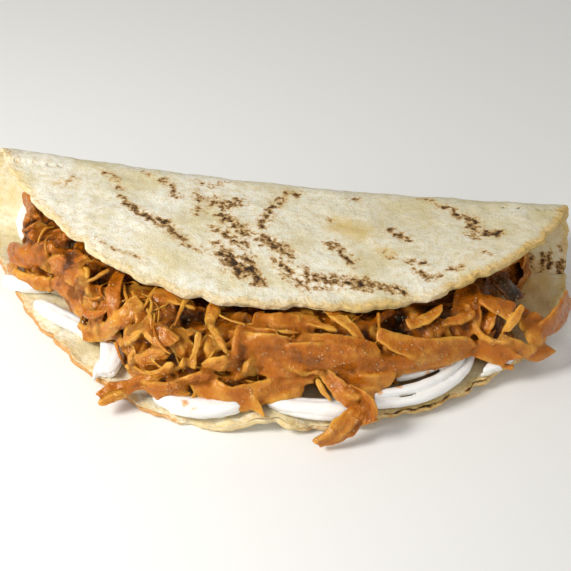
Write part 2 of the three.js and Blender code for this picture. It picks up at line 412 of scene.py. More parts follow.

# %% [markdown]
# ## Turning arrays into pieces
# Every piece of this food is an array of points with numbers written on them, such as how charred each point
# is. One function writes the mesh, its numbers and its finish, attaches it to the root and hides the imported
# solid that it stands for.


# %% Write a piece
def write_piece(name, points, faces, marks, finish, slot, stands_for=()):
    mesh = bpy.data.meshes.new(name)
    mesh.from_pydata((np.asarray(points) * MM).tolist(), [], faces)
    for key, values in marks.items():
        values = np.asarray(values, np.float32)
        kind, field = ("FLOAT", "value") if values.ndim == 1 else ("FLOAT_VECTOR", "vector")
        mesh.attributes.new(key, kind, "POINT").data.foreach_set(field, values.ravel())
    mesh.shade_smooth()
    mesh.materials.append(finish)
    piece = bpy.data.objects.new(name, mesh)
    bpy.context.scene.collection.objects.link(piece)
    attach(piece, "root")
    if stands_for:
        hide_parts(*stands_for)
    mesh.calc_loop_triangles()
    print(name, "has", len(mesh.loop_triangles), "triangles")


# %% [markdown]
# ## Where the griddle marked it
# A comal chars a tortilla where the dough blisters and touches the iron: short dark strokes, broken into
# specks, each with a toasted halo. They could be painted on an image, but strokes on the flat round need only
# a few points, follow the fold by themselves and stay sharp at any size. Each row is a width, a strength and
# its stops.

# %% Griddle marks on the flap
FLAP_CHAR = [
    (1.0, 0.50, [(-81, 28), (-78, 32)]),
    (0.8, 0.45, [(-69, 52), (-65, 56)]),
    (1.8, 0.48, [(-63, 40), (-60, 36)]),
    (1.3, 0.80, [(-52, 30), (-49, 31), (-47, 37)]),
    (1.0, 0.75, [(-46, 41), (-41, 45), (-36, 49)]),
    (1.5, 0.95, [(-43, 45), (-36, 50), (-31, 51)]),
    (1.7, 0.85, [(-33, 52), (-29, 54), (-26, 58)]),
    (1.2, 0.65, [(-24, 59), (-21, 60)]),
    (1.6, 0.75, [(-35, 29), (-33, 31), (-30, 36)]),
    (1.0, 0.55, [(-41, 26), (-39, 27)]),
    (1.3, 0.60, [(-24, 27), (-20, 28), (-16, 24)]),
    (1.6, 0.72, [(-25, 33), (-22, 38), (-23, 43)]),
    (2.0, 0.92, [(-19, 36), (-16, 38), (-12, 35)]),
    (2.1, 0.95, [(-16, 43), (-13, 46), (-9, 50)]),
    (1.7, 0.82, [(-18, 50), (-13, 53), (-9, 56)]),
    (1.3, 0.80, [(-17, 56), (-15, 60)]),
    (2.6, 1.08, [(-14, 61), (-11, 65), (-8, 67)]),
    (2.0, 0.95, [(-8, 61), (-6, 66), (-4, 70)]),
    (1.6, 0.85, [(0, 31), (-3, 38), (-5, 46)]),
    (1.6, 0.88, [(2, 27), (5, 27)]),
    (2.1, 0.95, [(-4, 52), (0, 54), (3, 57)]),
    (1.7, 0.85, [(1, 61), (4, 64), (3, 67)]),
    (1.5, 0.75, [(8, 63), (10, 67), (6, 69)]),
    (0.9, 0.60, [(14, 38), (15, 39)]),
    (1.6, 0.85, [(15, 50), (18, 54), (21, 58)]),
    (1.9, 0.98, [(11, 66), (18, 66), (26, 67)]),
    (1.5, 0.90, [(24, 65), (29, 67), (35, 68)]),
    (1.2, 0.70, [(8, 71), (16, 70)]),
    (0.9, 0.70, [(20, 27), (23, 26)]),
    (1.0, 0.75, [(26, 11), (31, 12)]),
    (1.2, 0.70, [(41, 23), (43, 24)]),
    (1.5, 0.90, [(32, 42), (36, 45)]),
    (1.6, 0.48, [(30, 52), (32, 54)]),
    (1.2, 0.80, [(37, 55), (41, 56)]),
    (1.2, 0.85, [(39, 59), (42, 62), (45, 61)]),
    (1.1, 0.70, [(48, 58), (51, 57)]),
    (1.2, 0.85, [(46, 27), (50, 28)]),
    (1.7, 0.95, [(51, 31), (56, 34), (55, 38)]),
    (1.2, 0.80, [(54, 40), (56, 43)]),
    (1.7, 1.15, [(59, 40), (62, 40)]),
    (0.8, 0.60, [(-50, 63), (-44, 66), (-37, 67)]),
    (1.1, 0.55, [(57, 50), (59, 51)]),
]

# %% Faint toasted patches on the flap
TOASTED = [
    (4.2, 1.0, [(17, 41), (23, 44)]),
    (2.6, 0.8, [(29, 51), (31, 53)]),
    (2.2, 0.7, [(-66, 40), (-60, 37)]),
    (3.0, 0.6, [(-44, 66), (-36, 68)]),
    (3.4, 0.6, [(56, 48), (50, 58)]),
    (3.0, 0.5, [(-12, 26), (2, 25)]),
]

# %% Griddle marks elsewhere
INNER_CHAR = [
    (0.8, 0.85, [(73.3, -3.6), (73.3, -1.4)]),
    (0.9, 0.95, [(74.6, -4.4), (74.6, -1)]),
    (0.8, 0.90, [(75.9, -5.4), (75.7, -2)]),
    (0.9, 1.00, [(79, -6.4), (79.2, -1.2)]),
    (1.0, 1.05, [(80.7, -6.2), (80.9, -1)]),
    (0.7, 0.85, [(76.7, -7.2), (76.8, -7.8)]),
    (0.7, 0.85, [(78.1, -8.2), (78.2, -8.8)]),
    (1.0, 1.00, [(84.1, -8.4), (84.2, -4)]),
    (0.8, 0.90, [(84.2, 0.8), (84.2, 2)]),
    (0.8, 0.75, [(83, 9.8), (83.2, 10.8)]),
    (1.0, 0.60, [(62, -42), (60, -45)]),
]
# Scorched crumbs along the crack in the rim: a width, a strength and one short stroke each.
RIM_CHAR = [
    (1.8, 1.3, [(31, -79), (34, -78)]),
    (1.3, 1.1, [(36.6, -77), (38, -76)]),
    (2.0, 1.5, [(38.6, -75.6), (41, -74.4)]),
    (1.6, 1.4, [(42.6, -73.6), (44.4, -72.4)]),
    (1.8, 1.4, [(47, -70.6), (49, -69.4)]),
    (1.2, 1.1, [(52, -67), (53, -66.4)]),
    (1.8, 1.4, [(58, -62), (60.6, -59.6)]),
    (0.8, 0.7, [(-30, -79), (-28, -80)]),
    (0.8, 0.6, [(14, -84), (16, -83.6)]),
]
RIM_CHAR_LEVEL = 0.74
UNDERSIDE_MARKS = 46
STROKE_SPREAD = 1.4
STROKE_STRENGTH = 0.86


def underside_char():
    """Marks of the same kind, scattered over the half that the table hides and round the bend."""
    rng = np.random.default_rng(21)
    strokes = []
    for _ in range(UNDERSIDE_MARKS):
        start = np.array([rng.uniform(-62, 62), rng.uniform(-66, 6)])
        heading = rng.uniform(0, np.pi)
        end = start + rng.uniform(2, 9) * np.array([np.cos(heading), np.sin(heading)])
        strokes.append((rng.uniform(1.0, 2.2), rng.uniform(0.6, 1.05), [tuple(start), tuple(end)]))
    return strokes


def stroke_field(places, strokes):
    """How strongly the griddle marked each place on the round."""
    u, v = places[:, 0], places[:, 1]
    field = np.zeros_like(u)
    for width, strength, stops in strokes:
        for (u0, v0), (u1, v1) in zip(stops, stops[1:]):
            along = ((u - u0) * (u1 - u0) + (v - v0) * (v1 - v0)) / ((u1 - u0) ** 2 + (v1 - v0) ** 2)
            along = np.clip(along, 0, 1)
            away = np.hypot(u - u0 - along * (u1 - u0), v - v0 - along * (v1 - v0))
            field = np.maximum(field, STROKE_STRENGTH * strength * fade(away, STROKE_SPREAD * width))
    return field


# %% [markdown]
# ## The heap's outline
# The filling is a heap that stands between the two halves. Its edge is a given outline in plan, steep at
# the sides and flat under the flap. The stain that it leaves on the dough is measured from the same outline.

# %% The heap in plan
HEAP_EDGE = [
    (-73, 18), (-68, 7), (-59, 5), (-53, -7), (-40, -17), (-23, -30), (-2, -29), (20, -24), (40, -22),
    (56, -10), (72, -8), (79, 3), (79, 24), (72, 37), (0, 38), (-68, 38), (-72.5, 30),
]
HEAP_MIDDLE = np.array([0.0, 14.0])
HEAP_SPOKES = 300


def smooth_path(stops, count):
    """Evenly spaced points on a smooth curve through the stops."""
    stops = np.asarray(stops, float)
    padded = np.vstack([2 * stops[0] - stops[1], stops, 2 * stops[-1] - stops[-2]])
    share = np.linspace(0, 1, 24, endpoint=False)[:, None]
    pieces = []
    for a, b, c, d in zip(padded, padded[1:], padded[2:], padded[3:]):
        cubic = 2 * b + (c - a) * share + (2 * a - 5 * b + 4 * c - d) * share**2
        pieces.append((cubic + (3 * b - a - 3 * c + d) * share**3) / 2)
    dense = np.vstack([*pieces, stops[-1:]])
    travelled = distances(dense)
    even = np.linspace(0, travelled[-1], count)
    return np.column_stack([np.interp(even, travelled, column) for column in dense.T])


heap_outline = smooth_path([*HEAP_EDGE, HEAP_EDGE[0]], HEAP_SPOKES + 1)[:-1]
outline_angles = np.arctan2(*(heap_outline - HEAP_MIDDLE).T[::-1])
outline_order = np.argsort(outline_angles)


def beyond_heap(x, y):
    """How far a place on the table is outside the heap's outline, in millimetres."""
    away = np.column_stack([x, y]) - HEAP_MIDDLE
    reach = np.linalg.norm(heap_outline - HEAP_MIDDLE, axis=1)
    angles = outline_angles[outline_order]
    edge = np.interp(np.arctan2(away[:, 1], away[:, 0]), angles, reach[outline_order], period=2 * np.pi)
    return np.linalg.norm(away, axis=1) - edge


print("the heap's outline is", round(float(np.ptp(heap_outline[:, 0]))), "mm long in plan")

# %% [markdown]
# ## The tortilla's mesh
# A square grid pressed into a circle has no pinched middle and runs straight through the fold. Its two faces
# are the same grid pushed both ways from the middle of the dough, and a few more rows round the rim join
# them. The dough's lumps are moved into the mesh, because they show along the rim and in raking light.

# %% Press a grid into a round
CELLS = 196
RIM_ROWS = 14
RIM_BULGE = 0.55
RIM_TAPER = 0.24
TAPER_START = 0.955
CROWDING = 1.15
CRACK_AT = 0.27
CRACK_WIDTH = 0.06
CRACK_DEPTH = 0.95
LOWEST_DOUGH = 0.02

spaced = np.sin(np.linspace(-1, 1, CELLS + 1) * CROWDING) / math.sin(CROWDING)
across, up = [grid.ravel() for grid in np.meshgrid(spaced, spaced)]
disc_x = across * np.sqrt(1 - up**2 / 2)
disc_y = up * np.sqrt(1 - across**2 / 2)
disc_angle = np.arctan2(disc_y, disc_x)
disc_share = np.hypot(disc_x, disc_y)
flat_u = disc_share * ragged_rim(disc_angle) * np.cos(disc_angle)
flat_v = disc_share * ragged_rim(disc_angle) * np.sin(disc_angle)
print("the grid's cells are about", round(2 * TORTILLA_RADIUS / CELLS, 2), "mm")

# %% Push the two faces apart
flat_places = np.column_stack([flat_u, flat_v])
middle_surface = folded(flat_u, flat_v)
into_filling = inward(flat_u, flat_v)
taper = 1 - RIM_TAPER * np.clip((disc_share - TAPER_START) / 0.045, 0, 1) ** 2
half_thickness = TORTILLA_THICKNESS / 2 * taper


def dough_lumps(seed):
    broad = 0.20 * relief(flat_places, 11, seed) + 0.12 * relief(flat_places, 4.5, seed + 1)
    return broad + 0.05 * relief(flat_places, 2.2, seed + 2)


# The dough wrinkles where it was pressed while soft, towards the rim of the lower half.
LOWER_HALF = FOLD_OFFSET - 14
near_rim = np.clip((disc_share - 0.55) / 0.25, 0, 1) * (flat_v < LOWER_HALF)
wrinkles = 0.24 * near_rim * relief(flat_places @ np.array([[1.0, 0.45], [0.5, 0.3]]), 5, 35)

inner_offset = half_thickness + dough_lumps(31) + wrinkles
outer_offset = half_thickness + dough_lumps(41)
inner_face = middle_surface + into_filling * inner_offset[:, None]
outer_face = middle_surface - into_filling * outer_offset[:, None]

# %% Round the rim
width = CELLS + 1
steps = np.arange(CELLS)
first_sides = [steps, steps * width + CELLS]
last_sides = [CELLS * width + CELLS - steps, (CELLS - steps) * width]
rim_loop = np.concatenate(first_sides + last_sides)
inset = 0.985
outward = unit(middle_surface[rim_loop] - folded(flat_u[rim_loop] * inset, flat_v[rim_loop] * inset))
rim_flat = flat_places[rim_loop]
open_crack = np.clip(0.55 + 0.75 * relief(rim_flat, 9, 57), 0, 1)
rim_points = []
rim_crack_shade = []
for row in range(1, RIM_ROWS):
    turn = math.pi * row / RIM_ROWS
    depth = (inner_offset - outer_offset)[rim_loop] / 2
    depth = depth + (inner_offset + outer_offset)[rim_loop] / 2 * math.cos(turn)
    height_on_rim = np.full(len(rim_loop), TORTILLA_THICKNESS * row / RIM_ROWS)
    crumbs = 0.2 * relief(np.column_stack([rim_flat, height_on_rim * 1.3]), 1.5, 50)
    crumbs = crumbs + 0.16 * relief(rim_flat, 4, 60)
    shifted = row / RIM_ROWS - CRACK_AT - 0.05 * relief(rim_flat, 6, 58)
    crack = open_crack * fade(shifted, CRACK_WIDTH)
    bulge = (RIM_BULGE + crumbs) * math.sin(turn) ** 0.55 - CRACK_DEPTH * crack
    at_depth = middle_surface[rim_loop] + into_filling[rim_loop] * depth[:, None]
    rim_points.append(at_depth + outward * bulge[:, None])
    rim_crack_shade.append(crack)

# %% Join faces and rim
rows, columns = [grid.ravel() for grid in np.meshgrid(steps, steps, indexing="ij")]
corner = rows * width + columns
under = width * width
top_quads = np.column_stack([corner, corner + 1, corner + width + 1, corner + width])
bottom_quads = np.column_stack([corner, corner + width, corner + width + 1, corner + 1]) + under
loop_size = len(rim_loop)
rings = [rim_loop] + [2 * under + loop_size * row + np.arange(loop_size) for row in range(RIM_ROWS - 1)]
rings.append(rim_loop + under)
rim_quads = [
    np.column_stack([np.roll(upper, -1), upper, lower, np.roll(lower, -1)])
    for upper, lower in zip(rings, rings[1:])
]
tortilla_points = np.vstack([inner_face, outer_face, *rim_points])
tortilla_points[:, 2] = np.maximum(tortilla_points[:, 2], LOWEST_DOUGH)
tortilla_faces = np.vstack([top_quads, bottom_quads, *rim_quads]).tolist()

# %% Numbers for the tortilla's finish
RIM_HEIGHT = 4.5

rim_places = np.tile(flat_places[rim_loop], (RIM_ROWS - 1, 1))
all_places = np.vstack([flat_places, flat_places, rim_places])
rim_inner = np.repeat(1 - np.arange(1, RIM_ROWS) / RIM_ROWS, loop_size)
inner_side = np.concatenate([np.ones(under), np.zeros(under), rim_inner])
edge_share = np.concatenate([disc_share, disc_share, np.ones(len(rim_places))])
rim_mark = np.clip((edge_share - 0.965) / 0.035, 0, 1)

# Painted shade: the crack along the rim is marked here, and the finish paints it dark brown.
crack_shade_mark = np.concatenate([np.zeros(2 * under), *rim_crack_shade])

# Painted shade: the rim and the faces are painted darker and more golden towards the right-hand end, where
# the light falls off, and on the outer face also towards the fold. The lower half's inner face at the front
# gets only half of it, which paints light into its shadow.
painted_golden_shade = np.clip((all_places[:, 0] + 45) / 100, 0.12, 1)
painted_golden_shade = painted_golden_shade * np.clip(0.75 + 0.35 * relief(all_places, 14, 73), 0, 1)
towards_fold = np.clip((66 - all_places[:, 1]) / 30, 0, 1)
painted_golden_shade = painted_golden_shade * np.where((inner_side < 0.5) & (edge_share < 0.97), 0.25 + 0.75 * towards_fold, 1)
painted_golden_shade = painted_golden_shade * np.where((inner_side > 0.5) & (all_places[:, 1] < -20), 0.5, 1)

outer_char = stroke_field(all_places, FLAP_CHAR + underside_char())
rim_char = stroke_field(all_places, RIM_CHAR) * fade(inner_side - RIM_CHAR_LEVEL, 0.2)
char = np.maximum(np.where(inner_side > 0.5, stroke_field(all_places, INNER_CHAR), outer_char), rim_char)
toast = stroke_field(all_places, TOASTED) * (inner_side < 0.5)

# The thin edge at the lower left was the first to brown, and the one at the lower right is golden.
crisp = np.clip((-all_places[:, 0] - 12) / 12, 0, 1) + 0.5 * np.clip((all_places[:, 0] - 8) / 12, 0, 1)
crisp = crisp * (all_places[:, 1] < LOWER_HALF) * rim_mark * np.clip((0.9 - inner_side) / 0.25, 0, 1)

# Sauce soaks into the dough close to the heap, and less at the left end.
stain_reach = 3.4 + 2 * relief(all_places, 9, 71)
from_heap = np.clip(beyond_heap(tortilla_points[:, 0], tortilla_points[:, 1]), 0, None)
stain = np.exp(-from_heap / np.maximum(stain_reach, 1.2))
stain = stain * (inner_side > 0.5) * (all_places[:, 1] < FOLD_OFFSET + 15)
stain = stain * np.clip((all_places[:, 0] + 74) / 30, 0, 1)

# %% [markdown]
# ## The dough's finish
# Masa is cream with tiny toasted and grey-green specks, a little translucent, and quite dry. It's painted
# darker and more golden in broad patches towards the right-hand end and, on the flap, towards the fold:
# painted shade where the light falls off. The char field is broken up by fine noise: where it's strong the
# noise can't open it, and where it's weak only specks and their halo are left.


# %% Finish: masa dough
def masa_finish():
    f = Finish(
        "masa_dough",
        Subsurface_Weight=0.22,
        Subsurface_Radius=(0.85, 0.65, 0.4),
        Subsurface_Scale=0.002,
        Specular_IOR_Level=0.42,
    )
    place = f.place("flat_place")
    inner = f.mark("inner_side")
    rim = f.mark("rim")
    stain = f.mark("stain")
    char = f.mark("char")
    painted_golden_shade = f.mark("painted_golden_shade")
    toast = f.mark("toast")

    patches = f.step(f.noise(place, 18, 3, 0.55), 0.42, 0.66)
    mottle = f.step(f.noise(place, 2.0, 3, 0.65), 0.4, 0.7)
    colour = f.mix(patches * 0.75, paint("f6f2e3"), paint("d9cc9c"))
    colour = f.mix(mottle * 0.55, colour, paint("d3bf8a"))
    specks = f.step(f.noise(place, 0.8, 1, 0.5), 0.63, 0.70)
    colour = f.mix(specks * 0.3, colour, paint("b49a62"))
    freckles = f.step(f.noise(place, 3.4, 4, 0.75), 0.66, 0.74)
    colour = f.mix(freckles * 0.6, colour, paint("cf9a4c"))

    # Painted shade: the outer face, the rim and the inner face are painted darker and more golden towards the
    # right-hand end and the fold.
    colour = f.mix((1 - inner) * painted_golden_shade * 0.5, colour, paint("cfbf86"))

    faint = f.step(toast + (f.noise(place, 3, 3, 0.6) - 0.5) * 0.9, 0.2, 1.1)
    colour = f.mix(faint * 0.72, colour, paint("d8b458"))

    edge = f.step(rim + f.noise(place, 4, 2) * 0.9 - 0.55, 0.1, 0.9)
    crumb = f.step(f.noise(place, 1.6, 3, 0.6), 0.38, 0.66)
    colour = f.mix(edge * (0.2 + painted_golden_shade * 0.38 + crumb * 0.3), colour, paint("e8bf64"))
    colour = f.mix(edge * (1 - crumb) * painted_golden_shade * 0.4, colour, paint("c18a35"))
    streaks = f.step(f.noise(f.stretch(place, (1.0, 0.25, 1.0)), 4, 3, 0.6), 0.42, 0.66)
    colour = f.mix(inner * (0.06 + painted_golden_shade * 0.45 + streaks * 0.22), colour, paint("ecd485"))
    # Painted shade: the inner face at the right-hand end of the fold is painted a darker gold.
    colour = f.mix(inner * f.step(painted_golden_shade, 0.7, 1.0) * 0.5, colour, paint("c9a452"))
    colour = f.mix(f.step(f.mark("crisp") + (crumb - 0.5) * 0.5, 0.2, 0.9) * 0.8, colour, paint("cf8a30"))
    soaked = f.step(stain + f.noise(place, 3.5, 3, 0.6) * 0.8 - 0.4, 0.15, 0.9)
    colour = f.mix(soaked * 0.42, colour, paint("dcab58"))
    # Painted shade: the crack along the rim is painted dark brown.
    crease = f.mark("crease")
    colour = f.mix(f.step(crease, 0.2, 0.8) * 0.85, colour, paint("5c3a12"))

    broken = char + (f.noise(place, 1.9, 4, 0.66, 0.3) - 0.5) * 3.0
    toasted = f.step(broken, 0.15, 0.75) * f.step(char, 0.04, 0.25)
    brown = f.step(broken, 0.5, 0.9) * f.step(char, 0.1, 0.3)
    burnt = f.step(broken, 0.78, 1.1) * f.step(char, 0.12, 0.35)
    colour = f.mix(toasted * 0.85, colour, paint("d0a056"))
    colour = f.mix(brown * 0.9, colour, paint("7c5520"))
    colour = f.mix(burnt * 0.95, colour, paint("2c1b0d"))

    pores = f.noise(place, 0.7, 3, 0.65)
    blisters = f.noise(place, 3.2, 2, 0.5)
    height = pores * 0.75 + blisters * 0.8 + crumb * rim * 0.6 - brown * 0.4
    roughness = 0.78 - soaked * 0.3 - burnt * 0.1
    return f.surface({"Base Color": colour, "Roughness": roughness, "Normal": f.bump(height, 0.34)})


# %% Make the tortilla
write_piece(
    "tortilla_dough",
    tortilla_points,
    tortilla_faces,
    {
        "flat_place": np.column_stack([all_places, inner_side * RIM_HEIGHT]),
        "inner_side": inner_side,
        "rim": rim_mark,
        "stain": stain,
        "char": char,
        "painted_golden_shade": painted_golden_shade,
        "toast": toast,
        "crisp": crisp,
        "crease": crack_shade_mark,
    },
    masa_finish(),
    "tortilla",
    ["tortilla"],
)

# %% [markdown]
# ## The heap's skin, unrolled
# Hundreds of wet pieces lie so close that their outer faces make one continuous surface. That surface is
# worked out as a relief: the skin of the heap is unrolled flat, `s` millimetres along its outline and `t` up
# from its widest level, strips are laid on it there, and it's rolled back. Only the open side, which shows,
# has fine cells.

# %% One section of the heap
CORE_INSET = 0.6
CORE_DROP = 1.2
HEAP_HEADROOM = 1.4
HEAP_WAIST = 0.3
HEAP_ROUNDNESS = 5
SECTION_SAMPLES = 120


def bend_gap(x, y, clearance):
    """Half the height of the space inside the bend."""
    hollow = bend_radius(x) - TORTILLA_THICKNESS / 2 - clearance
    behind = np.clip(y - FOLD_Y, 0, hollow)
    return np.sqrt(hollow**2 - behind**2)


def heap_level(outer, share, upper):
    """Points on the heap over each place of its outline: share 0 is its middle and 1 its widest level."""
    reach = outer - HEAP_MIDDLE
    x, y = (HEAP_MIDDLE + reach * share - unit(reach) * CORE_INSET * share).T
    axis = bend_radius(x) + TORTILLA_THICKNESS / 2
    low = np.where(y <= FOLD_Y, TORTILLA_THICKNESS + 0.1, axis - bend_gap(x, y, 0.2))
    high = axis + bend_gap(x, y, HEAP_HEADROOM) - CORE_DROP
    full = (1 - share**HEAP_ROUNDNESS) ** (1 / HEAP_ROUNDNESS)
    waist = low + HEAP_WAIST * (high - low)
    return np.column_stack([x, y, waist + ((high if upper else low) - waist) * full])


def smoothed(values, rounds=3):
    for _ in range(rounds):
        padded = np.vstack([values[:1], values, values[-1:]])
        values = (padded[:-2] + padded[1:-1] * 2 + padded[2:]) / 4
    return values


# %% Even steps over the skin
CELL = 0.34
OPEN_START = -18
SKIN_UP = 25
SKIN_DOWN = 8
MARGIN = 4

closed_outline = np.vstack([heap_outline, heap_outline[:1]])
travelled = distances(closed_outline)
OPEN_END = float(travelled[np.argmin(np.linalg.norm(heap_outline - (75, 33), axis=1))])
print("the open side is", round(OPEN_END - OPEN_START), "mm long")

fine_s = np.arange(OPEN_START - MARGIN, OPEN_END + MARGIN, CELL)
coarse_s = np.linspace(fine_s[-1], fine_s[0] + travelled[-1], 40)[1:-1]
columns_s = np.concatenate([fine_s, coarse_s])
outer = np.column_stack([np.interp(columns_s, travelled, c, period=travelled[-1]) for c in closed_outline.T])

turns = np.sin(np.linspace(0, np.pi / 2, SECTION_SAMPLES))
upper_levels = [heap_level(outer, share, True) for share in turns]
lower_levels = [heap_level(outer, share, False) for share in turns[::-1]]
section = np.stack([*upper_levels, *lower_levels])
legs = np.linalg.norm(np.diff(section, axis=0), axis=2)
arc = np.concatenate([np.zeros((1, len(outer))), legs.cumsum(axis=0)])
widest = arc[SECTION_SAMPLES - 1]
fine_t = np.arange(SKIN_UP, -SKIN_DOWN, -CELL)
top_t = SKIN_UP + np.outer([0.94, 0.75, 0.5, 0.3, 0.12], widest - SKIN_UP)
bottom_t = -SKIN_DOWN - np.outer([0.05, 0.2, 0.45, 0.7, 0.94], arc[-1] - widest - SKIN_DOWN)
rows_t = np.vstack([top_t, np.tile(fine_t[:, None], len(outer)), bottom_t])
skin = np.empty((*rows_t.shape, 3))
for column in range(len(outer)):
    wanted = widest[column] - rows_t[:, column]
    for axis_number in range(3):
        skin[:, column, axis_number] = np.interp(wanted, arc[:, column], section[:, column, axis_number])
print("the unrolled skin has", skin.shape[0], "by", skin.shape[1], "cells")


# %% Skin normals and trees to find places by
def grid_faces(rows, columns):
    """The faces of a grid of points that closes on itself sideways, and its two end caps."""
    index = np.arange(rows * columns).reshape(rows, columns)
    after = np.roll(index, -1, axis=1)
    quads = np.stack([index[:-1], index[1:], after[1:], after[:-1]], axis=-1).reshape(-1, 4)
    return quads, [index[0].tolist(), index[-1][::-1].tolist()]


def point_tree(points):
    tree = KDTree(len(points))
    for number, point in enumerate(points.tolist()):
        tree.insert(point, number)
    tree.balance()
    return tree


down_skin = np.gradient(skin, axis=0)
along_skin = (np.roll(skin, -1, axis=1) - np.roll(skin, 1, axis=1)) / 2
skin_normals = unit(np.cross(down_skin, along_skin))

skin_quads, skin_caps = grid_faces(*skin.shape[:2])
THINNING = 3
thinned = skin[::THINNING, ::THINNING]
thin_quads, thin_caps = grid_faces(*thinned.shape[:2])
core_tree = BVHTree.FromPolygons(thinned.reshape(-1, 3).tolist(), thin_quads.tolist())
facing_out = np.mean(((skin - skin.mean(axis=(0, 1))) * skin_normals).sum(axis=2))
print("the skin's normals point outwards by", round(float(facing_out), 1), "mm on average")


def core_normals(points):
    return np.array([core_tree.find_nearest(p)[1] for p in points.tolist()])


first_row = len(top_t)
fine_rows = slice(first_row, first_row + len(fine_t))
fine_columns = slice(0, len(fine_s))
fine_skin = skin[fine_rows, fine_columns]
fine_normals = skin_normals[fine_rows, fine_columns]
skin_tree = point_tree(fine_skin.reshape(-1, 3))


def skin_cell(point):
    """The row and column of the skin's fine cell that is nearest."""
    return divmod(skin_tree.find(point)[1], len(fine_s))


# %% [markdown]
# ## Where the heap gives way
# A few places between the pieces are so deep that they look black, so the skin is dented there, painted with
# dark shade, and nothing is laid over them. Behind the front pieces at the right end there is hardly any
# filling, so that end is drawn down and back as a whole, which bares the dough.

# %% Hollows and the slumped end
# The deepest hollows: their middle, radius and depth.
HOLLOW_SPREAD = 1.4
HOLLOWS = [
    ((-79, 33, 8), 5.5, 3.5),
    ((-15.6, -22.4, 20), 2.4, 9),
    ((38, -16, 19.5), 3.0, 5),
    ((-54, 0, 21), 3.6, 5),
    ((-44, -6, 22), 2.6, 3),
    ((18, -28, 12), 2.4, 4),
    ((28, -26, 9), 3.2, 4),
    ((46, -20, 6), 3.0, 4),
    ((48, -8, 21), 3.6, 4),
    ((68, 2, 20), 6.0, 6),
    ((59, -1, 22.5), 4.0, 4),
    ((2, -18, 22), 3.2, 4),
    ((-33, -23, 13), 2.2, 3),
    ((64, -8, 13), 2.0, 3),
]
SLUMP_MIDDLE = np.array([79, 10, 17])
SLUMP_SIZE = np.array([12, 22, 14])
SLUMP_TO = np.array([55, 16, 3])
SLUMP_SHARE = 0.88


def slumped(points):
    """The points, drawn down and back from the heap's right end."""
    away = np.linalg.norm((points - SLUMP_MIDDLE) / SLUMP_SIZE, axis=-1, keepdims=True)
    return points + SLUMP_SHARE * fade(away, 1) * (SLUMP_TO - points)


# %% [markdown]
# ## Packing the skin with strips
# Each strip is a path on the unrolled skin with a width, a thickness and a level. Where two overlap, the
# higher one shows, with a steep wall down to the other. A small tilt makes them overlap like shingles. Onion
# strips are wide with crisp edges, chicken is narrow and grooved, and single fibres are laid over whatever is
# there.

# %% Lay strips on the unrolled skin
WALL_SLOPE = 4.5
BARE_LEVEL = -1.9

# Each strip takes its grain from its own slice of the noise, this far from the last one.
GRAIN_STEP = 7.3


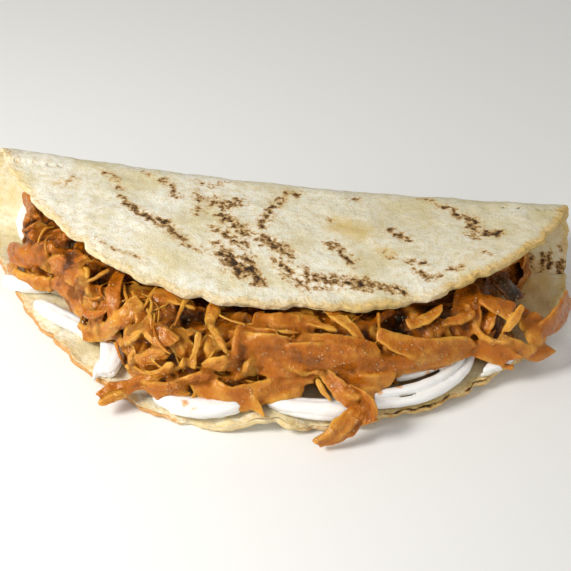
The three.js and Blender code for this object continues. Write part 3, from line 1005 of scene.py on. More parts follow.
class Skin:
    def __init__(self, seed):
        self.rng = np.random.default_rng(seed)
        self.shape = (len(fine_t), len(fine_s))
        s, t = np.meshgrid(fine_s, fine_t)
        flat = np.column_stack([s.ravel(), t.ravel()])
        lumps = 0.9 * relief(flat, 9, 80) + 0.5 * relief(flat, 4, 81)
        self.height = lumps.reshape(self.shape) + BARE_LEVEL
        self.marks = {
            "tone": np.full(self.shape, 0.1),
            "edge": np.zeros(self.shape),
            "stringy": np.zeros(self.shape),
            "wet": np.zeros(self.shape),
            "grain_place": np.stack([s, t, np.zeros(self.shape)], axis=-1),
        }
        self.count = 0

    def lay(self, path, wide, thick, level, tone, stringy, tilt=0.0, blunt=3, over=False):
        """Lays a strip at its level, or drapes it over whatever is there."""
        self.count += 1
        reach = np.max(wide) + 2.5
        left, bottom = path.min(axis=0) - reach
        right, top = path.max(axis=0) + reach
        columns = slice(*np.clip(np.searchsorted(fine_s, [left, right]), 0, len(fine_s)))
        rows = slice(*np.clip(np.searchsorted(-fine_t, [-top, -bottom]), 0, len(fine_t)))
        s, t = np.meshgrid(fine_s[columns], fine_t[rows])
        if s.size == 0:
            return
        nearest = np.full(s.shape, 1e9)
        along = np.zeros(s.shape)
        across = np.zeros(s.shape)
        parts = len(path) - 1
        for part in range(parts):
            start = path[part]
            leg = path[part + 1] - start
            share = np.clip(((s - start[0]) * leg[0] + (t - start[1]) * leg[1]) / (leg @ leg), 0, 1)
            off_s = s - start[0] - share * leg[0]
            off_t = t - start[1] - share * leg[1]
            away = np.hypot(off_s, off_t)
            closer = away < nearest
            nearest = np.where(closer, away, nearest)
            along = np.where(closer, (part + share) / parts, along)
            across = np.where(closer, np.sign(leg[0] * off_t - leg[1] * off_s) * away, across)
        level = in_turn(level, along)
        distance = along * length_of(path)
        phase = self.rng.uniform(0, 6.28, 5)
        ragged = 1 + 0.10 * np.sin(distance / 1.3 + phase[0] + np.sign(across))
        ragged = ragged + 0.08 * np.sin(distance / 0.6 + phase[1])
        rounded = np.clip(1 - np.abs(2 * along - 1) ** blunt, 0, 1) ** (1 / blunt)
        half = in_turn(wide, along) / 2 * ragged * rounded
        share = np.abs(across) / np.maximum(half, 1e-6)
        inside = share < 1
        if stringy:
            drift = 1.2 * np.sin(distance / 4 + phase[2])
            grooves = np.abs(np.sin(across * (2.8 + 0.8 * math.sin(phase[3])) + drift + phase[4]))
            profile = thick * np.sqrt(np.clip(1 - share**2, 0, 1)) * (0.74 + 0.26 * grooves**0.6)
        else:
            lip = 0.35 * math.sin(phase[3])
            profile = thick * (1 - 0.3 * share**8) + lip * share**2 * thick
        sag = thick * 0.9 * np.abs(2 * along - 1) ** 4
        height = level + profile + tilt * across - sag
        wall = level + (0 if stringy else 0.7 * thick) - sag - WALL_SLOPE * (nearest - half) + tilt * across
        height = np.where(inside, height, wall)
        buckle = np.sin(distance / 1.9 + across / 1.4 + phase[1])
        height = height + 0.22 * thick * buckle * np.sin(distance / 3.1 + phase[4])
        below = self.height[rows, columns]
        shows = height > below
        if over:
            height = below + profile
            shows = inside
        self.height[rows, columns] = np.where(shows, height, below)
        # Painted highlight: the strip's edges are marked paler, as light that they catch.
        pale_edge = np.clip(share, 0, 1) ** 6 * self.rng.uniform(0.3, 1.1) * (0.4 if stringy else 1.0)
        new = {
            "tone": np.where(inside, tone, tone - 0.15),
            "edge": np.where(inside, pale_edge, 0.2),
            "stringy": stringy,
            "wet": 0.2,
            "grain_place": np.stack([distance, across, np.full(s.shape, GRAIN_STEP * self.count)], axis=-1),
        }
        for key, values in new.items():
            kept = self.marks[key][rows, columns]
            mask = shows if kept.ndim == 2 else shows[..., None]
            self.marks[key][rows, columns] = np.where(mask, values, kept)

    def wander(self, start, heading, length, bend):
        """A path over the unrolled skin that turns by about `bend` degrees."""
        steps = 8
        turns = np.cumsum(self.rng.normal(math.radians(bend) / steps, 0.18, steps)) + math.radians(heading)
        legs = np.column_stack([np.cos(turns), np.sin(turns)]) * length / steps
        return np.vstack([[start], start + np.cumsum(legs, axis=0)])


packed = Skin(90)

# %% Listed pieces
# Their stops are in the model's millimetres, and are brought to the nearest place on the skin.
DARKEST = 0.15
TONE_RANGE = 0.7
petals_by_hand = []
shreds_by_hand = []
laid_over = []


def note_skin_below(stops):
    """Where a piece crosses the unrolled skin, and how far it stands off."""
    dense = smooth_path(stops, 14)
    cells = [skin_cell(point) for point in dense.tolist()]
    path = np.array([(fine_s[column], fine_t[row]) for row, column in cells])
    off = np.array([(point - fine_skin[cell]) @ fine_normals[cell] for point, cell in zip(dense, cells)])
    laid_over.append((smoothed(path, 2), smoothed(off[:, None], 3)[:, 0]))


def lay_petal(stops, wide, tone, thick=1.15):
    note_skin_below(stops)
    petals_by_hand.append((stops, wide, DARKEST + tone * TONE_RANGE, thick))


def lay_shred(stops, wide, tone):
    note_skin_below(stops)
    shreds_by_hand.append((stops, wide, DARKEST + tone * TONE_RANGE))


# The left end, from under the flap down to the cheese.
lay_petal([(-76, 37, 16), (-73, 31, 16), (-69.5, 26, 16.5), (-65, 20, 17.5)], (5.5, 6, 6), 0.5, 3.2)
lay_petal([(-73.8, 25, 10), (-70, 21.5, 12), (-64.5, 16.5, 14.5), (-58, 10, 17.5)], (5.4, 6, 5.6), 0.6, 3.0)
lay_petal([(-75.6, 14.6, 11), (-72, 11, 12.8), (-67, 8, 15), (-61, 5, 17.4)], (6, 7, 5.4), 0.5, 3.2)
lay_petal([(-76.4, 12, 6), (-72.4, 7.2, 6.8), (-67, 4, 8), (-61, 1.4, 9.6)], (4.4, 5.2, 4.4), 1.0, 2.2)

# The wide ribbon that bends over the left cheese.
lay_petal([(-50.5, -13.5, 8), (-48, -15.5, 8)], 2.6, 0.85)
lay_petal(
    [
        (-48.5, -15.5, 7.4), (-44.5, -17.5, 9.8), (-41, -20.5, 13.6), (-37.5, -22, 18), (-34, -21.5, 21),
        (-31, -18, 22.6),
    ],
    (4.6, 5.4, 4.6, 4.8), 0.86,
)
lay_petal([(-39, -7, 22), (-38.5, -13, 22.6), (-38, -18.5, 20.5), (-38, -21, 17)], 4.2, 0.2)

# The middle, above the cheese.
lay_petal([(-4.5, -28.5, 18.6), (1, -29.5, 19.4), (7, -29, 19.4), (13, -27, 18)], (7, 7.2, 6, 4), 0.58)
lay_petal([(1.5, -31.5, 15), (7, -32, 15), (12.5, -31, 14.4)], (5, 5.4, 5.6), 0.4)
lay_petal(
    [(1.2, -31.5, 16.8), (7, -32.3, 17), (12.5, -31, 16.4), (15, -31.5, 14), (18.5, -32.5, 12.6)],
    1.6, 0.85,
)
lay_petal([(12, -31.5, 14.5), (13.5, -32.5, 12), (12.5, -34, 9.5)], (3, 3.6, 3), 0.62)
lay_petal(
    [
        (-12.5, -34, 13), (-10, -37, 10), (-5, -39, 8.6), (1, -38.5, 8.4), (7, -36, 9.6), (14, -33, 11.6),
        (17, -32, 12),
    ],
    (6.8, 8.4, 8, 6.5, 4.6, 3), 0.74,
)
lay_petal([(0, -38, 8.4), (2.6, -40, 7), (4.2, -41, 5)], (4.5, 3.6, 1.6), 0.85)
lay_petal([(5, -37.5, 7.6), (10, -36.5, 8), (15, -34, 9)], (3.5, 4.5, 3.5), 0.85)
lay_petal([(0, -22, 21.6), (6, -22.5, 22), (12, -21, 21.6), (18, -20, 21.4)], (5, 6, 5), 0.5)
lay_petal([(11.5, -17, 22), (12, -21, 21.6), (12.4, -24, 20)], 3, 0.92)
lay_petal([(14, -21.5, 21), (18, -22.5, 21), (22.5, -22.5, 20.4)], 1.7, 0.95)
lay_petal([(19, -16, 22.4), (23, -19.5, 21.8), (27, -22.5, 20.6), (30, -24, 19)], (3.6, 3.8, 3.2, 1.6), 0.8)
lay_petal(
    [(8, -30, 17.4), (15, -30, 17), (23, -29, 16.4), (31, -28.5, 14.8), (38, -27, 12.8), (44, -24.5, 12)],
    (6.5, 8.6, 9, 8, 6, 4), 0.34,
)
lay_petal([(13, -26, 20), (20, -27, 19.6), (28, -26.5, 18.6), (34, -25, 17.4)], (3, 5, 5, 3), 0.52)
lay_petal([(23, -30.5, 11), (28, -31, 10.6), (33, -30.4, 10.4), (38.5, -28.4, 10.8)], (4, 5.5, 5.5, 4), 0.6)
lay_petal([(26, -33, 8), (30.5, -32.6, 8), (35, -31, 8.4)], (3, 4.2, 3), 0.5)

# The right, where long strips lie side by side.
lay_petal(
    [(33, -22, 20), (39, -23.5, 18), (46, -22, 16), (53, -18, 14.4), (59, -14.5, 13.4)],
    (4, 6, 6, 5.4, 4), 0.66,
)
lay_petal([(37, -26, 13.2), (45, -23.6, 12.8), (52, -19.4, 12.4), (58, -15.4, 12)], (5, 6, 5.6, 4.6), 0.56)
lay_petal([(40, -25.4, 10.6), (47, -22, 10.8), (53, -18, 11)], (2.4, 3.4, 2.4), 0.45)
lay_petal([(41, -18, 20.4), (46, -14.5, 20.6), (50, -10, 21)], (3.4, 4, 3), 0.82)
lay_petal([(56, 0, 21.4), (56.5, -6, 20.4), (57, -11, 17), (58, -13.6, 13.6)], (6, 8.5, 8, 5), 0.62)
lay_petal([(57, -7, 20), (58.5, -10.5, 17.6), (61, -13, 15.4), (65, -14, 14), (69, -13.6, 13)], 1.9, 0.9)
lay_petal([(60, -5, 20.6), (64, -7, 20.6), (69, -8, 19.6)], (5, 7, 6), 0.36)
lay_petal([(66.5, -12, 16), (69, -10.5, 19), (71.5, -7, 21)], (2, 2.8, 2), 0.88)
lay_petal([(72, -5, 15), (75, -7, 14), (76.5, -8.5, 11), (75, -9.5, 8)], (6, 8.5, 8, 5), 0.62)
lay_petal([(75, -8, 13), (80, -4, 13), (83, 2, 12.5), (84.5, 9, 13)], (6, 9, 10, 7), 0.55)
lay_petal([(68, -2, 15), (71, 1, 11), (72, 5, 8), (71.6, 10, 6)], (4.6, 6, 5.6, 4), 0.2)
lay_petal([(57.4, -14, 11.2), (61, -14.4, 11), (65, -15, 10), (70, -15, 8.6)], (4, 5.4, 6, 4.4), 0.62)
lay_petal([(61, -14, 9), (66, -15.6, 7.4), (70.5, -15.6, 6.4)], (1.6, 2, 1.6), 0.95)
lay_petal([(66, -12.5, 13.6), (71, -13, 11), (75, -12, 9)], (4, 5, 4), 0.62)
lay_petal([(72, -12.6, 8), (77, -11.4, 7), (81, -8, 7)], (3.5, 4.5, 3), 0.6)
# Painted shade: this petal lies in the shadow under the flap's right end, so its tone is below the darkest.
lay_petal([(62, 5, 20.6), (67, 4, 18.4), (71, 3.4, 15)], (4, 6, 5), -0.4)

# Shreds, mostly at the left.
lay_shred(
    [(-62, 4, 12), (-58, 1.5, 16), (-53, -3, 19), (-49, -8, 19.6), (-46, -12.5, 17.5)],
    (4, 7.5, 7, 4), 0.82,
)
lay_shred([(-60, 2, 9.5), (-55, -3.6, 12.6), (-50, -9, 13.6), (-46.5, -13, 12)], (4, 6, 6, 4), 0.66)
lay_shred([(-57, 4, 18), (-52, 0, 21), (-48, -4, 22)], (3, 4.6, 3), 0.78)
lay_shred([(-49.5, -8.5, 20), (-46, -9, 22), (-41.5, -7, 23)], (2.4, 3.4, 1.6), 0.95)
lay_shred([(-45, -15.8, 15.4), (-45.6, -17, 10)], 2.4, 0.7)
lay_shred([(-34, -25, 16), (-30.5, -26, 20), (-27, -23.6, 22.6)], (4, 5.4, 4), 0.66)
lay_shred([(-28, -25.5, 21.6), (-23.5, -29.5, 20.6), (-18.5, -31, 20)], (4, 6, 5), 0.64)
lay_shred([(-30, -31, 12), (-26, -32, 15.5), (-21, -32.6, 17)], (4, 5.6, 4), 0.6)
lay_shred(
    [(-34, -28, 6.6), (-29.6, -32.5, 7.6), (-24.5, -34.5, 10), (-19, -34.6, 14.6)],
    (4, 5.4, 5, 3.4), 0.8,
)
lay_shred([(-41, -19, 9), (-38, -20.5, 12), (-35.6, -21.6, 9)], (2.6, 4, 3), 0.66)
lay_shred(
    [(-24, -33.6, 9.6), (-18, -36, 11.8), (-12, -35.5, 12.6), (-6, -34.4, 10.6), (-1, -33, 8.6)],
    (2, 2.8, 2.6, 2), 0.5,
)
lay_shred([(-23, -33, 8), (-17, -35, 10), (-11, -34.6, 10.8), (-5, -34, 9)], (1.6, 2.4, 2), 0.62)
lay_shred([(-28, -36, 7.4), (-24, -37.8, 8.4), (-19, -37, 9), (-14, -35, 10.4)], (4.4, 6, 5, 3), 0.56)
lay_shred([(-22, -38.5, 6.6), (-18, -38.5, 7.6), (-15, -37.5, 7)], (3, 4, 2), 0.7)
lay_shred([(-11.5, -34, 14.6), (-6.5, -34.5, 15.8), (-1.5, -32.6, 13.6)], (4, 5.8, 4.4), 0.84)
lay_shred([(0.4, -32.4, 17.4), (1, -33.6, 13)], 3.4, 0.84)
lay_shred([(-11.5, -22.5, 22), (-8.5, -28, 21), (-6, -31.5, 19.4), (-3.6, -33, 16.6)], (2, 3, 2.8, 1.6), 0.88)
lay_shred([(-13, -28.5, 21), (-13.2, -32.6, 18.6), (-14.6, -35, 14)], (1.8, 2.6, 3.4), 0.95)
lay_petal([(-10.4, -16.5, 22.4), (-10.6, -20, 22.6), (-11.6, -24, 21.6)], (3.4, 4, 3.2), 0.55)
lay_shred([(-22, -27, 21), (-19, -27.4, 20.6), (-15, -28, 20)], (2, 3, 2.4), 0.7)
lay_shred([(-17, -34, 17), (-17.4, -35, 13.6)], (1.4, 2.2), 0.8)
lay_shred([(15, -33, 13), (18, -33.5, 14), (21, -33, 13)], (2, 3, 2), 0.66)
lay_shred([(50, -14, 19), (55, -13, 19), (59, -11, 20)], (2.4, 3.4, 2.4), 0.6)

# %% Swell the skin to meet them
SWELL_REACH = 4.5
BARE_WEIGHT = 0.35
SUNK_IN = 2.0

weights = np.full(packed.shape, BARE_WEIGHT)
swell = np.zeros(packed.shape)
s_grid, t_grid = np.meshgrid(fine_s, fine_t)
for path, off in laid_over:
    for (s_at, t_at), height in zip(path[::2], off[::2]):
        near = np.exp(-((s_grid - s_at) ** 2 + (t_grid - t_at) ** 2) / SWELL_REACH**2)
        weights += near
        swell += near * (height - SUNK_IN)
swell = np.clip(swell / weights, 0, None) * np.clip((t_grid + 1.0) / 2.5, 0, 1)
packed.height += swell
print("the skin swells by up to", round(float(swell.max()), 1), "mm")

# %% Pack the skin
PACKED_PETALS = 190
PACKED_SHREDS = 330
PACKED_FIBRES = 240

rng = packed.rng


def skin_spot(left, right):
    """A random place on the open side, with a beta distribution along it."""
    s = OPEN_START + (OPEN_END - OPEN_START) * rng.beta(left, right)
    return np.array([s, rng.uniform(-7, SKIN_UP)])


def swell_along(path):
    columns = np.clip(np.searchsorted(fine_s, path[:, 0]), 0, len(fine_s) - 1)
    rows = np.clip(np.searchsorted(-fine_t, -path[:, 1]), 0, len(fine_t) - 1)
    return swell[rows, columns]


for _ in range(PACKED_PETALS):
    path = packed.wander(skin_spot(1.5, 1.0), rng.normal(0, 30), rng.uniform(8, 26), rng.normal(0, 50))
    packed.lay(
        path, rng.uniform(3.5, 8), rng.uniform(0.6, 1.1), swell_along(path) + rng.uniform(-3.0, 0.3),
        tone=rng.uniform(0.05, 0.85), stringy=0.0, tilt=rng.normal(0, 0.26), blunt=rng.uniform(3, 8),
    )
for _ in range(PACKED_SHREDS):
    path = packed.wander(skin_spot(1.0, 1.7), rng.uniform(-90, 90), rng.uniform(4, 15), rng.normal(0, 80))
    packed.lay(
        path, rng.uniform(1.4, 4.2), rng.uniform(0.7, 1.5), swell_along(path) + rng.uniform(-2.8, 0.3),
        tone=rng.uniform(0.2, 0.85), stringy=1.0, tilt=rng.normal(0, 0.2), blunt=rng.uniform(2, 4),
    )
print("the packed relief runs from", round(packed.height.min(), 1), "to", round(packed.height.max(), 1), "mm")

# %% Fibres over everything
for _ in range(PACKED_FIBRES):
    path = packed.wander(skin_spot(1.6, 2.4), rng.uniform(-90, 90), rng.uniform(4, 14), rng.normal(0, 120))
    packed.lay(
        path, rng.uniform(0.7, 1.2), rng.uniform(0.3, 0.7), 0,
        tone=rng.uniform(0.4, 1.0), stringy=1.0, blunt=2, over=True,
    )

# %% [markdown]
# ## Sauce
# Everything in the heap is coated with the same sauce, so one finish does it all. A mark on each piece says
# how dark or pale it is under the sauce, with painted shade in hollows and creases and painted highlights on
# edges and ridges, and another how stringy. Wet places are smooth under a thin clear coat, which gives the
# small highlights, and dry ones are rougher. Deep places are painted nearly black, as shade, and bubbles are
# pale specks, partly painted highlights.


# %% Finish: anything coated in sauce
BUBBLE_SIZE = 1.2


def sauced_finish():
    f = Finish(
        "sauced",
        Subsurface_Weight=0.4,
        Subsurface_Radius=(1.0, 0.42, 0.08),
        Subsurface_Scale=0.0022,
        Specular_IOR_Level=0.55,
        Specular_Tint=(1.0, 0.88, 0.6, 1.0),
        Coat_Roughness=0.07,
    )
    grain = f.place("grain_place")
    place = f.here()
    stringy = f.mark("stringy")
    sauce = f.mark("wet")
    fibres = f.noise(f.stretch(grain, (0.16, 1.0, 1.0)), 0.8, 3, 0.6)
    clouds = f.noise(place, 7.0, 3, 0.6, 0.5)
    pulp = f.noise(place, 1.5, 3, 0.65, 0.3)
    light = f.mark("tone") * 0.85 + (fibres - 0.5) * (0.45 + stringy * 0.6)
    light = light + (clouds - 0.5) * 1.3 + (pulp - 0.5) * 0.3
    # Painted highlight: the strips' edges, ends and ridges are painted paler, as light that they catch.
    light = light + f.mark("edge") * 0.24 + 0.03
    colour = f.mix(f.step(light, -0.15, 0.55), paint("5c2a00"), paint("b46204"))
    colour = f.mix(f.step(light, 0.46, 1.3), colour, paint("e2a640"))
    # Painted shade: where the tone falls low, in the hollows and creases, the colour is painted nearly black.
    colour = f.mix(f.step(0 - light, 0.15, 0.6) * 0.9, colour, paint("1c0f02"))
    wet = f.step(f.noise(place, 2.6, 2, 0.5, 0.4) + sauce * 0.3, 0.38, 0.6)
    cells = {"Vector": place, "Scale": 1 / BUBBLE_SIZE}
    from_middle = f.node("ShaderNodeTexVoronoi", {}, cells, output="Distance")
    bubbles = 1 - f.step(from_middle, 0.05, 0.5)
    froth = f.step(f.noise(place, 4, 2, 0.5), 0.5, 0.58) * wet
    # Painted highlights: the froth's bubbles get pale specks in their middles, partly paler fat and partly
    # standing in for glints.
    colour = f.mix((1 - f.step(from_middle, 0.12, 0.32)) * froth * 0.55, colour, paint("f0d4a4"))
    height = fibres * (0.15 + stringy * 1.1) + pulp * 0.6 + f.noise(place, 0.7, 2, 0.6) * 0.3
    height = height + bubbles * froth * 0.55
    return f.surface({
        "Base Color": colour,
        "Roughness": 0.12 + (1 - wet) * 0.26,
        "Coat Weight": wet * 0.15,
        "Normal": f.bump(height, 0.6),
    })


sauced = sauced_finish()

# %% [markdown]
# ## The sauce between the pieces
# So far the pieces look laid on dry. The sauce fills the narrow gaps up to a little below the average height
# around them and rounds off what it covers, which leaves the tops of the pieces clear, joined by smooth dark
# pools. What lies deep is darker, because less light reaches it and more sauce sits there.

# %% Pour the sauce in
SAUCE_REACH = 1.1
SAUCE_DROP = 0.5
SAUCE_SOFTNESS = 0.12
POOL_TONE = 0.22
PADDING = 24


def blurred(field, size):
    """The field, blurred over about this many millimetres."""
    padded = np.pad(field, PADDING, mode="edge")
    down, along = [np.fft.fftfreq(count, CELL) for count in padded.shape]
    kernel = np.exp(-2 * (np.pi * size) ** 2 * (down[:, None] ** 2 + along**2))
    return np.fft.ifft2(np.fft.fft2(padded) * kernel).real[PADDING:-PADDING, PADDING:-PADDING]


flat_skin = np.column_stack([grid.ravel() for grid in np.meshgrid(fine_s, fine_t)])
pools = 0.3 * relief(flat_skin, 6, 84).reshape(packed.shape)
sauce_level = blurred(packed.height, SAUCE_REACH) - SAUCE_DROP + pools
above = packed.height - sauce_level
packed.height = blurred(sauce_level + np.logaddexp(0, above / SAUCE_SOFTNESS) * SAUCE_SOFTNESS, 0.15)
covered = 1 / (1 + np.exp(np.clip(above / 0.14, -30, 30)))
packed.marks["tone"] = packed.marks["tone"] * (1 - covered) + POOL_TONE * covered
packed.marks["edge"] = packed.marks["edge"] * (1 - covered)
packed.marks["stringy"] = packed.marks["stringy"] * (1 - 0.8 * covered)
packed.marks["wet"] = packed.marks["wet"] * (1 - covered) + covered
# Painted shade and highlight: hollows in the relief are painted darker and bumps paler.
packed.marks["tone"] += np.clip(0.22 * (packed.height - blurred(packed.height, 2.5)), -0.35, 0.2)
print("the sauce covers", round(100 * float(covered.mean())), "per cent of the skin")

# %% Keep soft pieces out of the dough
CLEARANCE = 0.25


def between_faces(points):
    """Moves points that would cut the tortilla back into the space that it leaves."""
    x, y, z = points.T.copy()
    quarter = np.pi * bend_radius(x) / 2
    lower_v = FOLD_OFFSET - quarter + y - FOLD_Y
    on_dough = np.hypot(x, lower_v) < rim_radius(np.arctan2(lower_v, x)) + 0.5
    floor = np.where(on_dough, TORTILLA_THICKNESS + rim_lift(x, lower_v, LOWER_LIFTS), 0) + CLEARANCE
    along = quarter + np.clip(FOLD_Y - y, 0, None)
    flap_u = x - flap_slip(along)
    flap_v = FOLD_OFFSET + along
    under_flap = np.hypot(flap_u, flap_v) < rim_radius(np.arctan2(flap_v, flap_u)) + 0.8
    roof = flap_height(flap_u, flap_v, FOLD_Y - y) - TORTILLA_THICKNESS / 2 - CLEARANCE - 0.2
    z = np.where((y <= FOLD_Y) & under_flap, np.minimum(z, roof), z)
    z = np.where(y <= FOLD_Y, np.maximum(z, floor), z)
    axis = bend_radius(x) + TORTILLA_THICKNESS / 2
    hollow = bend_radius(x) - TORTILLA_THICKNESS / 2 - CLEARANCE
    away = np.hypot(y - FOLD_Y, z - axis)
    pull = np.where((y > FOLD_Y) & (away > hollow), hollow / np.maximum(away, 1e-6), 1)
    y = np.where(y > FOLD_Y, FOLD_Y + (y - FOLD_Y) * pull, y)
    return np.column_stack([x, y, axis + (z - axis) * pull])


# %% Roll the skin back and make the core
CORE_DEPTH = 3.4
# Painted shade in the hollows, per millimetre of their depth.
PIT_SHADE = 0.24

# Where the skin has no strips on it, it lies this far in.
SUNK = 2.5

out = np.full(skin.shape[:2], -SUNK)
border_s = np.clip(np.minimum(fine_s - fine_s[0], fine_s[-1] - fine_s) / MARGIN, 0, 1)
border_t = np.clip(np.minimum(fine_t[0] - fine_t, fine_t - fine_t[-1]) / 2, 0, 1)
border = np.outer(border_t, border_s)
out[fine_rows, fine_columns] = packed.height * border - SUNK * (1 - border)
pits = np.zeros(skin.shape[:2])
for middle, radius, depth in HOLLOWS:
    away = np.linalg.norm(skin - middle, axis=2)
    pits = np.maximum(pits, depth * fade(away / radius, HOLLOW_SPREAD))
rolled = slumped(skin + skin_normals * (out - pits)[..., None])


def no_marks(shape):
    return {key: np.zeros(shape) for key in ("tone", "edge", "stringy", "wet")}


skin_marks = no_marks(skin.shape[:2])
skin_marks["grain_place"] = skin.copy()
for key, values in packed.marks.items():
    skin_marks[key][fine_rows, fine_columns] = values
# Painted shade: the hollows are painted darker the deeper they are.
skin_marks["tone"] -= PIT_SHADE * pits
skin_marks = {key: values.reshape(-1, *values.shape[2:]) for key, values in skin_marks.items()}
rolled = between_faces(rolled.reshape(-1, 3))

core_points = slumped(skin - skin_normals * CORE_DEPTH)[::THINNING, ::THINNING]
core_points = between_faces(core_points.reshape(-1, 3))
core_marks = no_marks(len(core_points))
core_marks["grain_place"] = core_points
core_faces = thin_quads.tolist() + thin_caps
write_piece("filling_core", core_points, core_faces, core_marks, sauced, "filling", ["chicken_filling"])


# %% [markdown]
# ## Making soft strips
# The pieces that stand out are closed solids: a cross-section carried along a curve. Blender's curve bevel
# could do that, but here the section changes all the way along: it widens, thins, ruffles, grows grooves and
# frays. So the skin is worked out directly, ring by ring.


# %% Carry a section along a curve
def sweep(path, facing, sideways, outward, forward):
    """Points and faces of a closed skin. The offsets from the path are (steps, sides) arrays."""
    tangents = unit(np.gradient(path, axis=0))
    face = unit(facing - (facing * tangents).sum(axis=1)[:, None] * tangents)
    side = np.cross(tangents, face)
    points = path[:, None] + sideways[..., None] * side[:, None] + outward[..., None] * face[:, None]
    points = points + forward[..., None] * tangents[:, None]
    return points.reshape(-1, 3), *grid_faces(*sideways.shape)


def crowded(steps):
    """Shares from 0 to 1 that crowd towards both ends, where a strip's outline turns fastest."""
    even = np.linspace(0, 1, steps)
    return even - 0.6 * np.sin(2 * np.pi * even) / (2 * np.pi)


def resampled(values, steps):
    """Rows of values along a piece, at crowded places."""
    dense = np.asarray(values, float)
    return np.column_stack([np.interp(crowded(steps), np.linspace(0, 1, len(dense)), c) for c in dense.T])


def twisted(facing, path, degrees):
    """The facing, rolled about the path by an angle that may change along it."""
    tangents = unit(np.gradient(path, axis=0))
    angle = np.radians(np.linspace(*degrees, len(path)))[:, None]
    return facing * np.cos(angle) + np.cross(tangents, facing) * np.sin(angle)


# %% Gather strips of one kind into one mesh
class Pile:
    def __init__(self, seed, stringy):
        self.rng = np.random.default_rng(seed)
        self.stringy = stringy
        self.points = []
        self.faces = []
        self.marks = {"grain_place": [], "tone": [], "edge": [], "stringy": [], "wet": []}
        self.size = 0

    def seed(self):
        return int(self.rng.integers(1_000_000))

    def strip(
        self, stops, facing, wide, thick, steps=30, sides=18, square=0.6, arch=0.0, drift=0.0, wave=0.0,
        ruffle=0.0, ragged=0.0, ridges=0, groove=0.0, lumps=0.1, ends=((3, 0), (3, 0)), torn=0.0,
        twist=(0, 0), tone=0.5, rough=1.0,
    ):
        """One soft piece along its stops.

        wide: one width, or several that it takes in turn along its length. square: 1 is an oval section and
        less is squarer. arch: how far its middle stands out, as a share of its width. ruffle: how far its
        long edges wave up and down. ragged: how uneven they are, as a share. Each of the ends is how blunt it
        is, from 2, pointed, to 9, cut square, and how slanted the cut is. torn: length of its frayed ends.
        """
        rng = self.rng
        path = resampled(smooth_path(stops, 90), steps)
        facing = twisted(resampled(smoothed(np.asarray(facing, float)), steps), path, twist)
        turn = np.linspace(0, 2 * np.pi, sides, endpoint=False)
        flat = np.sign(np.cos(turn)) * np.abs(np.cos(turn)) ** square
        body = np.sign(np.sin(turn)) * np.abs(np.sin(turn)) ** square
        along = crowded(steps)
        share = (2 * along - 1) * 0.998
        power = np.where(share < 0, ends[0][0], ends[1][0])
        swell = ((1 - np.abs(share) ** power) ** (1 / power))[:, None]
        widths = in_turn(wide, along)[:, None]
        girth = 1 + lumps * relief(path, 6, self.seed(), 8)[:, None]
        if ridges:
            drifting = rng.uniform(0, 6) + np.cumsum(rng.normal(0, 0.12, steps))[:, None]
            valley = (1 - np.abs(np.sin(ridges * turn / 2 + drifting))) ** 2.5
            uneven = 0.6 + 0.4 * np.sin(3 * turn + drifting * 0.7)
            girth = girth * (1 - groove * valley * uneven)
        uneven_left = relief(path, 2.4, self.seed(), 10)[:, None]
        uneven_right = relief(path, 2.4, self.seed(), 10)[:, None]
        nibbled = 1 + ragged * np.where(flat > 0, uneven_right, uneven_left) * np.abs(flat)
        sheet = np.tile(flat, steps)[:, None] * np.repeat(widths, sides, axis=0) / 2
        sheet = np.repeat(path, sides, axis=0) + sheet
        ripple = wave * relief(sheet, 8, self.seed(), 12).reshape(steps, sides)
        lift_left = relief(path, 9, self.seed(), 8)[:, None]
        lift_right = relief(path, 9, self.seed(), 8)[:, None]
        ruffled = ruffle * np.where(flat > 0, lift_right, lift_left) * flat**2
        sideways = widths / 2 * swell * girth * flat * nibbled
        sideways = sideways + drift * relief(path, 10, self.seed(), 8)[:, None]
        outward = thick / 2 * np.clip(swell * 1.6, 0, 1) * girth * body
        outward = outward + arch * widths * swell * (1 - flat**2) + ripple + ruffled
        finish = np.clip(share, 0, 1)[:, None] ** 6 * ends[1][1]
        beginning = np.clip(-share, 0, 1)[:, None] ** 6 * ends[0][1]
        forward = flat * widths / 2 * (finish - beginning)
        fray = rng.uniform(-1, 0.4, sides) * np.clip(np.abs(share) - 0.35, 0, 1)[:, None] ** 1.5 * 1.9
        forward = forward + torn * fray * np.sign(share)[:, None]
        points, quads, caps = sweep(path, facing, sideways, outward, forward)
        bumps = 0.10 * relief(points, 1.6, self.seed(), 14) + 0.12 * relief(points, 3.2, self.seed(), 14)
        bumps = unit(points - np.repeat(path, sides, axis=0)) * bumps[:, None]
        points = points + bumps * rough * min(thick, 1.2)
        # Painted highlight: edges, ends and lumps are marked paler.
        edge = np.abs(flat) ** 6 * rng.uniform(0.4, 1.2) + (1 - swell) + 0.5 * (girth - 1)
        distance = along * length_of(path)
        self.add(between_faces(points), quads, caps, distance, turn * np.mean(widths) / 3, tone, edge)

    def add(self, points, quads, caps, along, around, tone, edge):
        steps, sides = len(along), len(around)
        self.points.append(points)
        self.faces += (quads + self.size).tolist()
        self.faces += [[corner + self.size for corner in cap] for cap in caps]
        number = np.full(len(points), GRAIN_STEP * len(self.points))
        grain = np.column_stack([np.repeat(along, sides), np.tile(around, steps), number])
        self.marks["grain_place"].append(grain)
        self.marks["tone"].append(np.full(len(points), tone))
        self.marks["edge"].append(edge.ravel())
        self.marks["stringy"].append(np.full(len(points), self.stringy))
        self.marks["wet"].append(np.full(len(points), 0.2))
        self.size += len(points)

    def solid(self):
        marks = {key: np.concatenate(values) for key, values in self.marks.items()}
        return np.vstack(self.points), self.faces, marks


# %% [markdown]
# ## Laying pieces on the heap
# The pieces that show best are given one by one, with stops in the model's millimetres, and face the way the
# heap does there. The rest drape: each starts at a random place on the core's open side and walks along its
# surface, turning a little at each step, and is lifted off by its layer's height. This is far quicker than a
# physics run.


